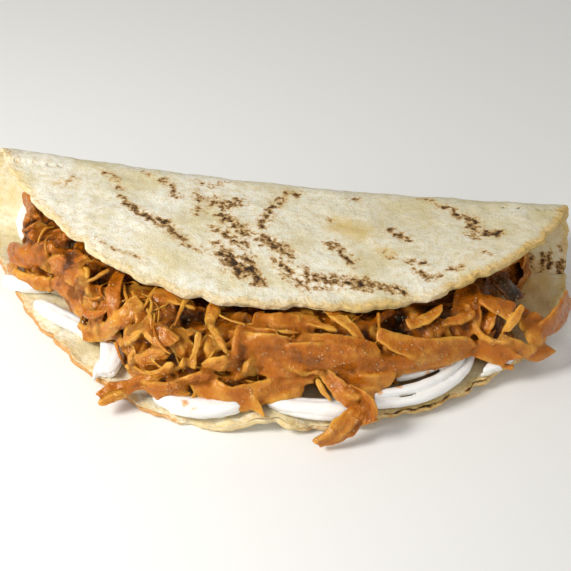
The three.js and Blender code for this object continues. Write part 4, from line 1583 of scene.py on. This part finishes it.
# %% Face the way the heap does
def heap_facing(stops, tilt=0.0):
    """The way that the heap faces at each stop, tilted upwards."""
    dense = smooth_path(stops, 16)
    return unit(smoothed(core_normals(dense), 4) + (0, 0, tilt))


# %% Walk along the heap's surface
# The long sheets right of the middle have to stay smooth, so hardly any loose piece may cross them.
SHEETS_X = (8, 58)
SHEETS_Z = (8, 18.5)
MOST_AVOIDED = 0.15

bed = blurred(packed.height, 1.2)


def on_open_side(rng, left, right):
    """A random point on the open side, with a beta distribution along it."""
    column = np.searchsorted(fine_s, OPEN_START + (OPEN_END - OPEN_START) * rng.beta(left, right))
    row = np.searchsorted(-fine_t, -rng.uniform(-5, 17))
    return skin[first_row + row, column].tolist()


def avoided(point):
    """Whether a place belongs to a hollow or to the long sheets that lie right of the middle."""
    hollow = any(np.linalg.norm(np.subtract(point, middle)) < radius + 0.5 for middle, radius, _ in HOLLOWS)
    return hollow or (SHEETS_X[0] < point[0] < SHEETS_X[1] and SHEETS_Z[0] < point[2] < SHEETS_Z[1])


def walk(rng, start, heading, length, steps, bend, lift):
    """A path over the core, and the way that it faces. heading 0 runs level and 90 straight up."""
    place, normal = core_tree.find_nearest(start)[:2]
    level = Vector((-normal.y, normal.x, 0)).normalized()
    rising = normal.cross(level)
    direction = level * math.cos(math.radians(heading)) + rising * math.sin(math.radians(heading))
    turn = math.radians(bend) / steps
    places = []
    normals = []
    for _ in range(steps):
        places.append(place)
        normals.append(normal)
        direction = direction + normal.cross(direction) * (turn + rng.normal(0, 0.08))
        place, normal = core_tree.find_nearest(place + direction.normalized() * (length / (steps - 1)))[:2]
        direction = (direction - normal * direction.dot(normal)).normalized()
    facing = smoothed(np.array(normals))
    relief_below = np.array([bed[skin_cell(place)] for place in places])
    humps = np.sin(np.linspace(0, np.pi, steps)) * rng.uniform(-0.2, 1.2)
    return slumped(np.array(places) + facing * (relief_below + humps + lift)[:, None]), facing


def scatter(rng, count, left, right, lengths, lifts, steps, bend, level):
    """Draped paths. level is how nearly level they lie: the spread of their headings in degrees."""
    made = []
    while len(made) < count:
        start = on_open_side(rng, left, right)
        heading = rng.normal(0, level) + rng.choice([0, 180])
        length = rng.uniform(*lengths)
        path, facing = walk(rng, start, heading, length, steps, rng.normal(0, bend), rng.uniform(*lifts))
        if np.mean([avoided(point) for point in path]) < MOST_AVOIDED:
            made.append((path, facing))
    return made


# %% [markdown]
# ## Onion petals
# The onion was cut into strips and simmered until it went limp and took the sauce's colour. A strip is a thin
# sheet, smooth and wet, that buckles where it's pushed against its neighbours. Its long edges are cut square,
# so they catch the light as thin pale lines.

# %% Scattered petals
LOOSE_PETALS = 26

onion = Pile(101, 0.1)
roll = onion.rng.normal
paths = scatter(
    onion.rng, LOOSE_PETALS, left=1.35, right=1.0, lengths=(7, 18), lifts=(-0.6, 0.5),
    steps=9, bend=45, level=32,
)
for path, facing in paths:
    onion.strip(
        path, facing, wide=onion.rng.uniform(2.5, 6.0), thick=onion.rng.uniform(0.9, 1.3), sides=20, steps=30,
        square=0.45, arch=roll(0.05, 0.09), drift=0.6, wave=0.6, ruffle=0.8, ragged=0.03, rough=0.45,
        tone=onion.rng.uniform(0.1, 0.8), twist=(roll(0, 34), roll(0, 34)),
        ends=((8, roll(0, 0.6)), (8, roll(0, 0.6))),
    )

# %% Listed petals
# A petal thicker than this is a whole chunk, which is rounder.
CHUNK = 2

for stops, wide, tone, thick in petals_by_hand:
    onion.strip(
        stops, heap_facing(stops), wide, thick, steps=48, sides=28, square=0.42 if thick < CHUNK else 0.85,
        arch=roll(0.07, 0.05), drift=0.5, wave=0.6, ruffle=0.8, ragged=0.03, lumps=0.05, rough=0.45,
        ends=((8, roll(0, 0.5)), (8, roll(0, 0.5))), twist=(roll(-8, 12), roll(-8, 12)), tone=tone,
    )

# %% [markdown]
# ## Shredded chicken
# Pulled breast comes apart along its fibres, so a shred is a ridged strip, thick in the middle, with torn
# ends. The grooves are in the section itself, because they catch the light along the whole piece, and the
# last rings are pulled out unevenly, fibre by fibre, which frays the ends.

# %% Scattered shreds
LOOSE_SHREDS = 60

chicken = Pile(202, 1.0)
roll = chicken.rng.normal
paths = scatter(
    chicken.rng, LOOSE_SHREDS, left=1.2, right=2.2, lengths=(5, 14), lifts=(-0.8, 0.3),
    steps=8, bend=80, level=60,
)
for path, facing in paths:
    wide = chicken.rng.uniform(1.7, 3.9)
    chicken.strip(
        path, facing, wide=wide, thick=wide * chicken.rng.uniform(0.35, 0.6), sides=24, steps=22, square=0.9,
        ridges=int(chicken.rng.integers(5, 9)), groove=0.45, lumps=0.25, drift=0.6, wave=0.3, torn=1.2,
        ends=((chicken.rng.uniform(4, 9), 0), (chicken.rng.uniform(4, 9), 0)),
        twist=(roll(0, 60), roll(0, 60)), tone=chicken.rng.uniform(0.28, 0.72),
    )

# %% Listed shreds
for stops, wide, tone in shreds_by_hand:
    chicken.strip(
        stops, heap_facing(stops), wide, 0.45 * np.mean(wide), steps=40, sides=28, square=0.75, drift=0.7,
        wave=0.6, ruffle=0.4, ragged=0.14, ridges=6, groove=0.4, lumps=0.22, torn=1.8,
        ends=((8, roll(0, 0.4)), (8, roll(0, 0.4))), twist=(roll(0, 14), roll(0, 14)), tone=tone,
    )

# %% [markdown]
# ## One wet heap
# So far the pieces stick through each other with hard creases between them, as if they had been laid on dry.
# A voxel remesh joins them and the heap's skin into one surface. Then sauce is poured in: a point in a crease
# moves out towards its neighbours and a point on a ridge stays, so creases fill while cut edges stay crisp.


# %% Join solids that overlap
def fused(points, faces, voxel):
    mesh = bpy.data.meshes.new("dry")
    mesh.from_pydata(points.tolist(), [], faces)
    solid = bpy.data.objects.new("dry", mesh)
    bpy.context.scene.collection.objects.link(solid)
    remesh = solid.modifiers.new("join", "REMESH")
    remesh.mode = "VOXEL"
    remesh.voxel_size = voxel
    made = solid.evaluated_get(bpy.context.evaluated_depsgraph_get()).to_mesh()
    joined = np.empty(len(made.vertices) * 3)
    made.vertices.foreach_get("co", joined)
    corners = np.empty(len(made.loops), int)
    made.loops.foreach_get("vertex_index", corners)
    quads = corners.reshape(len(made.polygons), 4)
    bpy.data.objects.remove(solid)
    bpy.data.meshes.remove(mesh)
    return joined.reshape(-1, 3), quads


# %% Pour sauce into the creases
def neighbours(values, quads):
    """The average of each point's neighbours."""
    ends = np.roll(quads, -1, axis=1)
    here = np.concatenate([quads.ravel(), ends.ravel()])
    there = np.concatenate([ends.ravel(), quads.ravel()])
    count = np.maximum(np.bincount(here, minlength=len(values)), 1)
    total = np.column_stack([np.bincount(here, column[there], len(values)) for column in values.T])
    return total / count[:, None]


def point_normals(points, quads):
    a, b, c, d = (points[quads[:, corner]] for corner in range(4))
    flat = np.cross(c - a, d - b)
    corners = quads.ravel()
    sums = [np.bincount(corners, np.repeat(column, 4), len(points)) for column in flat.T]
    return unit(np.column_stack(sums))


def poured(points, quads, rounds, filling, easing):
    """The points with their creases filled, and how deep the sauce is over each."""
    depth = np.zeros(len(points))
    for _ in range(rounds):
        pull = neighbours(points, quads) - points
        normals = point_normals(points, quads)
        out = np.clip((pull * normals).sum(axis=1), 0, None) * filling
        points = points + normals * out[:, None] + pull * easing
        depth += out
    return points, depth


def crease(points, quads, rounds):
    """How far each point stands out from its surroundings, in millimetres."""
    smooth = points
    for _ in range(rounds):
        smooth = neighbours(smooth, quads)
    return ((points - smooth) * point_normals(points, quads)).sum(axis=1)


# %% Make the wet heap
FUSE_VOXEL = 0.42
OPEN_DEPTH = 3.5
SAUCE_ROUNDS = 8
DEEP_SAUCE = 0.45
GRAIN_DEPTH = 0.09
NARROW_CREASE = 20
BROAD_CREASE = 90

# The marks are blurred a little where pieces meet. More would turn their colours to smooth caramel.
MARK_BLUR = 2

# The left end is made darker, and the hollows are painted with dark shade.
LEFT_DARKER = 0.2
HOLLOW_SHADE = 0.9

# The heap is written as two pieces, left and right of this, because one would have too many triangles.
SPLIT_X = 2


def marks_near(points, sources, source_marks):
    """The marks of the nearest source point."""
    tree = point_tree(sources)
    nearest = np.array([tree.find(point)[1] for point in points.tolist()])
    return {key: values[nearest] for key, values in source_marks.items()}


def open_part(points, quads):
    """Leaves out what lies behind the heap's open side, where nothing can see it."""
    found = [skin_tree.find(point)[1:] for point in points.tolist()]
    row, column = np.divmod([number for number, _ in found], len(fine_s))
    border = (row < 2) | (row > len(fine_t) - 3) | (column < 2) | (column > len(fine_s) - 3)
    shows = ~border | (np.array([away for _, away in found]) < OPEN_DEPTH)
    return quads[shows[quads].all(axis=1)]


def wet(solids, voxel, rounds):
    """Joins solids, given as points, faces and marks, and pours sauce over them."""
    faces = []
    count = 0
    for part, part_faces, _ in solids:
        faces += [[corner + count for corner in face] for face in part_faces]
        count += len(part)
    points = np.vstack([part for part, _, _ in solids])
    sources = {key: np.concatenate([part[key] for _, _, part in solids]) for key in skin_marks}
    joined, quads = fused(points, faces, voxel)
    marks = marks_near(joined, points, sources)
    for _ in range(MARK_BLUR):
        for key, values in marks.items():
            marks[key] = neighbours(values.reshape(len(joined), -1), quads).reshape(values.shape)
    joined, depth = poured(joined, quads, rounds, filling=0.6, easing=0.1)
    grain = relief(joined, 1.5, 95) + relief(joined, 3.2, 96)
    joined = joined + point_normals(joined, quads) * GRAIN_DEPTH * grain[:, None]
    sauce = np.clip(depth / DEEP_SAUCE, 0, 1)
    marks["tone"] = marks["tone"] * (1 - 0.6 * sauce) + 0.12 * sauce
    # Painted shade and highlight: creases and deep places are painted darker, and what stands out paler.
    marks["tone"] += np.clip(0.3 * crease(joined, quads, NARROW_CREASE), -0.45, 0.2)
    marks["tone"] += np.clip(0.26 * crease(joined, quads, BROAD_CREASE), -0.8, 0.2)
    marks["tone"] -= LEFT_DARKER * np.clip((-40 - joined[:, 0]) / 25, 0, 1)
    for middle, radius, _ in HOLLOWS:
        marks["tone"] -= HOLLOW_SHADE * fade(np.linalg.norm(joined - middle, axis=1), radius)
    marks["edge"] = marks["edge"] * (1 - sauce)
    marks["stringy"] = marks["stringy"] * (1 - 0.7 * sauce)
    marks["wet"] = np.maximum(marks["wet"], sauce)
    return joined, quads, marks


def write_part(name, points, quads, marks, stands_for=()):
    """Writes only the points that these faces use."""
    used = np.unique(quads)
    renumbered = np.zeros(len(points), int)
    renumbered[used] = np.arange(len(used))
    kept = {key: values[used] for key, values in marks.items()}
    write_piece(name, points[used], renumbered[quads].tolist(), kept, sauced, "filling", stands_for)


heap_skin = (rolled, skin_quads.tolist() + skin_caps, skin_marks)
heap_solids = [heap_skin, onion.solid(), chicken.solid()]
heap_points, heap_quads, heap_marks = wet(heap_solids, FUSE_VOXEL, SAUCE_ROUNDS)
heap_quads = open_part(heap_points, heap_quads)
on_left = heap_points[heap_quads[:, 0], 0] < SPLIT_X
write_part("filling_left", heap_points, heap_quads[on_left], heap_marks)
write_part("filling_right", heap_points, heap_quads[~on_left], heap_marks)

# %% [markdown]
# ## Single fibres
# The thinnest strands curl freely and stand off the heap. They hold less sauce, so they're paler. They're
# about a millimetre thick, so six sides are plenty, and hundreds of them stay cheap.

# %% Scattered fibres
LOOSE_FIBRES = 60

fibres = Pile(303, 0.8)
paths = scatter(
    fibres.rng, LOOSE_FIBRES, left=1.7, right=2.8, lengths=(5, 16), lifts=(0.0, 0.8),
    steps=7, bend=130, level=70,
)
for path, facing in paths:
    fibres.strip(
        path, facing, wide=fibres.rng.uniform(0.45, 0.9), thick=fibres.rng.uniform(0.35, 0.6), sides=6,
        steps=15, square=1.0, lumps=0.25, drift=0.5, wave=0.3, ends=((2.5, 0), (2.5, 0)),
        tone=fibres.rng.uniform(0.6, 1.2),
    )

# %% Listed fibres
# Each row is a thickness, a tone and its stops.
FIBRES = [
    (1.1, 0.95, [
        (-37, -11, 22.6), (-35, -17, 22.4), (-32.5, -20.5, 21.6), (-30, -20.6, 21.6), (-28.4, -17, 23),
        (-27, -13, 24),
    ]),
    (1.8, 0.75, [
        (-48.6, -14, 16), (-46.4, -17, 15.6), (-43, -18.6, 17), (-39.8, -19, 19.4), (-38.6, -17, 21.6),
        (-41, -13.4, 22.4),
    ]),
    (1.4, 0.8, [(-47.6, -13, 18), (-45, -15.6, 19.6), (-42, -16, 21)]),
    (1.2, 0.95, [(-15.6, -15, 23.6), (-18.4, -17.6, 23.4), (-19.4, -22, 22.8), (-20.2, -27, 22)]),
    (1.3, 0.95, [(-26, -24, 23), (-25.4, -29, 21.6), (-23, -32.6, 19.6), (-20, -34, 18)]),
    (1.1, 0.95, [(-28.4, -22, 23), (-26.6, -26, 22.6), (-26, -30, 19.6)]),
    (1.1, 0.95, [(33, -15, 22), (33.6, -20, 21), (34.4, -24, 19)]),
    (1.2, 0.95, [(-50, -4, 21), (-48, -6.5, 22.4), (-47.4, -9.5, 21.6)]),
    (1.3, 0.8, [(-38, -20.6, 9.4), (-36.4, -23.6, 6.6), (-35, -25, 4.4)]),
    (1.0, 0.95, [(-31, -31, 10), (-27.6, -34, 10.6), (-24, -35.6, 9.4)]),
    (1.1, 0.95, [(-15.6, -36, 12), (-13.4, -37.6, 8.6), (-14.4, -39, 7.2)]),
    (1.1, 0.95, [(-33, -26, 14), (-30, -29.6, 13.6), (-27, -31, 11)]),
    (1.2, 0.9, [(2, -25, 21.6), (8, -26, 21.8), (13, -25, 21)]),
    (1.0, 0.95, [(-9, -22, 22.6), (-5, -24, 22.4), (-1, -24.6, 21.8)]),
]

for thick, tone, stops in FIBRES:
    fibres.strip(
        stops, heap_facing(stops), thick * 0.95, thick * 0.7, sides=8, steps=24, square=1.0, lumps=0.35,
        wave=0.3, ends=((2.5, 0), (2.5, 0)), tone=tone,
    )
write_piece("chicken_fibres", *fibres.solid(), sauced, "filling")

# %% [markdown]
# ## Pieces that hang over the rim
# Two pieces fell out at the front: one bends over the cheese down to the table, and a smaller one crosses the
# rim on the left. Each is its own solid in the model, so each is its own piece here. The front one is a
# smooth lobe, a leaf that folds over the cheese, and a ridged leg that reaches the table.

# %% The two fallen pieces
FALLEN_VOXEL = 0.3
FALLEN_ROUNDS = 6


def hang(pile, stops, wide, thick, tone, tilt=0.4, **shape):
    pile.strip(stops, heap_facing(stops, tilt), wide, thick, steps=36, sides=26, tone=tone, **shape)


front_piece = Pile(505, 0.6)
hang(
    front_piece, [(18, -30.4, 15), (21.4, -33.4, 13.6), (25, -36, 12), (29.4, -38.6, 10)],
    (3.6, 4.8, 5.2, 4.8), 1.6, 0.66,
    ridges=5, groove=0.2, lumps=0.14, square=0.5, arch=0.05, wave=0.5, ruffle=0.7, ragged=0.1,
    ends=((7, 0.3), (5, 0)),
)
hang(
    front_piece, [(18.4, -33, 12.6), (20.2, -35.4, 10.4), (22.6, -37, 8.4)], (1.2, 1.8, 1.4), 1.0, 0.95,
    ridges=5, groove=0.3, lumps=0.3, wave=0.3,
)
hang(
    front_piece, [(26.6, -35.4, 12.6), (30.4, -37.6, 11.8), (32.8, -40.2, 9.8), (33, -43, 7)],
    (3.4, 5, 5.4, 4.6, 3.4), 1.2, 0.5,
    arch=-0.14, wave=0.6, ruffle=0.9, ragged=0.1, square=0.45, ends=((6, 0.3), (6, 0.2)), tilt=0.2,
)
hang(
    front_piece, [(30.6, -38.6, 9.6), (28.6, -41.2, 7.8), (24.4, -44.6, 4.8), (19.6, -47.2, 2.4)],
    (4, 4.6, 4.8, 4.8, 4.8), 2.4, 0.7,
    ridges=6, groove=0.45, lumps=0.2, square=0.6, wave=0.5, ragged=0.1, ends=((6, 0), (9, 0.15)), torn=0.5,
)
hang(
    front_piece, [(31.4, -41, 7.4), (29, -43.6, 5.2), (25.6, -45.8, 3)], (1.8, 2.4, 2), 1.6, 0.4,
    ridges=6, groove=0.4, lumps=0.25,
)

left_piece = Pile(506, 0.8)
hang(
    left_piece, [(-23, -34.4, 9.6), (-28.6, -35.6, 8.4), (-34, -37.4, 7), (-39, -39.4, 5.6)],
    (3.6, 4.6, 4.4, 4.2, 3.6), 1.7, 0.42,
    ridges=6, groove=0.35, lumps=0.2, square=0.6, wave=0.6, ruffle=0.5, ragged=0.14,
    ends=((5, 0), (6, 0.3)), torn=1.0,
)
hang(
    left_piece, [(-32, -37.8, 6.4), (-36, -39.8, 5.4), (-39, -41, 4.8)], (1.6, 2.6, 1.8), 1.4, 0.8,
    ridges=6, groove=0.4, lumps=0.3, wave=0.3,
)

front_wet = wet([front_piece.solid()], FALLEN_VOXEL, FALLEN_ROUNDS)
write_part("shred_over_front_piece", *front_wet, ["shred_over_front"])
left_wet = wet([left_piece.solid()], FALLEN_VOXEL, FALLEN_ROUNDS)
write_part("shred_over_left_rim_piece", *left_wet, ["shred_over_left_rim"])

# %% [markdown]
# ## String cheese
# The cheese was pulled into flat ropes that lie on the dough. Fresh string cheese is pure white, satin and
# soft: light goes a few millimetres into it, which is what subsurface scattering is for. Some ropes split
# into two or three strands that lie side by side, so a rope is a few strips of different thickness, and one
# end is torn.


# %% Finish: string cheese
def cheese_finish():
    f = Finish(
        "string_cheese",
        Subsurface_Weight=0.45,
        Subsurface_Radius=(1.0, 0.9, 0.75),
        Subsurface_Scale=0.0025,
        Specular_IOR_Level=0.4,
        Coat_Roughness=0.25,
    )
    grain = f.place("grain_place")
    strands = f.noise(f.stretch(grain, (0.06, 1.0, 1.0)), 1.1, 3, 0.55)
    tone = f.mark("tone")
    colour = f.mix(f.step(strands, 0.5, 0.75) * 0.3, paint("fdfcf9"), paint("eee6d0"))
    colour = f.mix(tone * 0.8, colour, paint("ecdcb0"))
    smear = f.step(f.mark("smear") + (f.noise(f.here(), 1.4, 3, 0.6) - 0.5) * 1.1, 0.15, 0.9)
    colour = f.mix(smear * 0.85, colour, paint("e0932c"))
    height = strands * 0.8 + f.noise(f.here(), 4, 2) * 0.5
    return f.surface({
        "Base Color": colour,
        "Roughness": 0.38,
        "Coat Weight": 0.15,
        "Normal": f.bump(height, 0.35),
    })


# %% Strands of each rope
# Each strand: its widths, its thickness, how creamy it is, its shape where that differs, and its stops.
ROUNDED = {"ends": ((3, 0), (3, 0))}
CUT_SQUARE = {"ends": ((8, 0), (4, 0))}
CHEESE = {
    "cheese_far_left": [
        ((4.6, 5.2, 4.6), 3.8, 0.0, {}, [(-78.4, 44, 6.2), (-77.8, 36, 5.4), (-75.4, 28, 5.2)]),
    ],
    "cheese_left_blob": [
        ((4.4, 6.4, 5, 2.2), 4.2, 0.0, ROUNDED, [
            (-77, 6.4, 6), (-71.6, 5.4, 5.8), (-65.4, 6, 5.4), (-59, 7.4, 5),
        ]),
        ((1.4, 1.8, 1.6), 1.8, 0.1, {}, [(-66, 5.4, 5), (-60, 4.2, 5), (-55, 3, 4.8)]),
    ],
    "cheese_left": [
        ((4, 5.6, 5.4, 5), 4.0, 0.0, {"ends": ((4, 0.4), (4, 0))}, [
            (-64.6, -2.4, 5.4), (-58, -6.4, 5.4), (-51, -10.4, 5.2), (-45.6, -13, 5),
        ]),
        ((1.2, 1.8, 1.4), 1.6, 0.2, {}, [(-60, -7.6, 4), (-53, -11.6, 4), (-47, -15, 4)]),
    ],
    "cheese_fallen": [
        ((5.6, 7, 7, 6.4), 3.4, 0.0, {"ends": ((4, 0), (9, 0.25)), "torn": 1.0}, [
            (-42.4, -13, 5.8), (-39.6, -18, 5.8), (-39, -24, 5.2), (-40.2, -29.4, 4.4),
        ]),
        ((2.2, 2.4, 1.2), 1.8, 0.05, ROUNDED, [(-41.6, -24, 5), (-41.9, -28, 4.4), (-42.4, -31, 3.8)]),
    ],
    "cheese_front_left": [
        ((3, 5, 5.8, 5.6, 4), 4.4, 0.0, ROUNDED, [
            (-25, -37.4, 5.4), (-18, -39.4, 5.6), (-10, -40.2, 5.8), (-3, -38.6, 6), (3, -35.6, 6.2),
        ]),
        ((1.6, 2, 1.6), 1.8, 0.15, {}, [(-20, -41.2, 4.4), (-12, -42.2, 4.6), (-5, -41.2, 5)]),
    ],
    "cheese_front": [
        ((4.6, 5.4, 5.4, 5.2), 4.2, 0.0, {"ends": ((3.4, 0), (4, 0))}, [
            (5.8, -36.2, 6.6), (12, -37, 6), (20, -37.2, 5.8), (28.4, -37.2, 5.6),
        ]),
        ((1.4, 1.8, 1.4), 1.6, 0.1, {}, [(9, -38.8, 5), (17, -39.4, 4.8), (25, -39.2, 4.6)]),
    ],
    "cheese_right": [
        ((2.6, 2.8, 2.8, 2.6, 2.2), 3.0, 0.0, CUT_SQUARE, [
            (33.4, -32, 7), (42, -29, 7), (49.6, -24.4, 7.2), (54.8, -18.2, 7.8), (57.4, -11, 8.6),
        ]),
        ((2.2, 2.6, 2.6, 2.2), 2.8, 0.05, CUT_SQUARE, [
            (33.4, -34.6, 5.8), (42.6, -31.5, 5.8), (51, -26.6, 6), (57, -18.8, 6.6), (59.6, -11, 7.6),
        ]),
        ((1.4, 2, 1.8), 2.2, 0.1, {}, [(50.6, -21.4, 8.2), (55.6, -16, 8.6), (57, -9, 9.6)]),
    ],
    "cheese_right_inner": [
        ((1.6, 2.8, 3.2, 2.8), 2.4, 0.15, ROUNDED, [
            (39, -26, 8), (45.4, -23, 8.8), (51, -18.8, 9.4), (54.6, -12, 9.6),
        ]),
    ],
    "cheese_far_right": [
        ((2, 4.4, 4), 3, 0.05, {"ends": ((2.4, 0), (4, 0))}, [
            (62.4, -18, 5.6), (66, -14.6, 6.2), (69.6, -10.6, 6.6),
        ]),
        ((0.8, 1.6, 1.4), 1.6, 0.5, {}, [(61.6, -18.6, 4.8), (64.6, -16.6, 5.4), (67, -14, 6)]),
    ],
}

# Where sauce has smeared the ropes: a place and how far it spreads.
SMEARS = [
    ((-15.5, -41, 7.6), 1.3), ((-13, -42, 6.6), 1.1), ((-9.6, -38.6, 8.2), 1.2), ((3, -36, 8), 1.3),
    ((35, -32, 8.4), 1.0), ((40, -29, 8.6), 1.2), ((31, -37, 8), 1.0), ((56, -15, 9.4), 1.5),
    ((-47, -12, 7), 1.3), ((-25, -37, 7), 1.3), ((47, -23, 9), 1.1),
]

# %% Lay the ropes
CHEESE_VOXEL = 0.28

string_cheese = cheese_finish()
for number, (node, strands) in enumerate(CHEESE.items()):
    rope = Pile(600 + number, 0.0)
    for wide, thick, cream, shape, stops in strands:
        upright = np.tile([0.0, 0.0, 1.0], (16, 1))
        shape = {"ends": ((4, 0), (4, 0)), **shape}
        rope.strip(
            stops, upright, wide, thick, steps=48, sides=36, tone=cream, square=0.8, lumps=0.05, drift=0.3,
            ridges=9, groove=0.24, rough=0.35, **shape,
        )
    points, faces, marks = rope.solid()
    joined, quads = fused(points, faces, CHEESE_VOXEL)
    near = marks_near(joined, points, marks)
    joined = poured(joined, quads, rounds=3, filling=0.2, easing=0.12)[0]
    near["smear"] = np.zeros(len(joined))
    for middle, reach in SMEARS:
        near["smear"] += fade(np.linalg.norm(joined - middle, axis=1), reach)
    write_piece(node + "_rope", joined, quads.tolist(), near, string_cheese, "cheese", [node])

# %% [markdown]
# ## Sizes
# The fine surface has to stay within the imported model's box, apart from the small margin that soft food may
# stand proud. The imported model's box is printed.

# %% Print the model's box
print("packed box:", CAD_BOX)
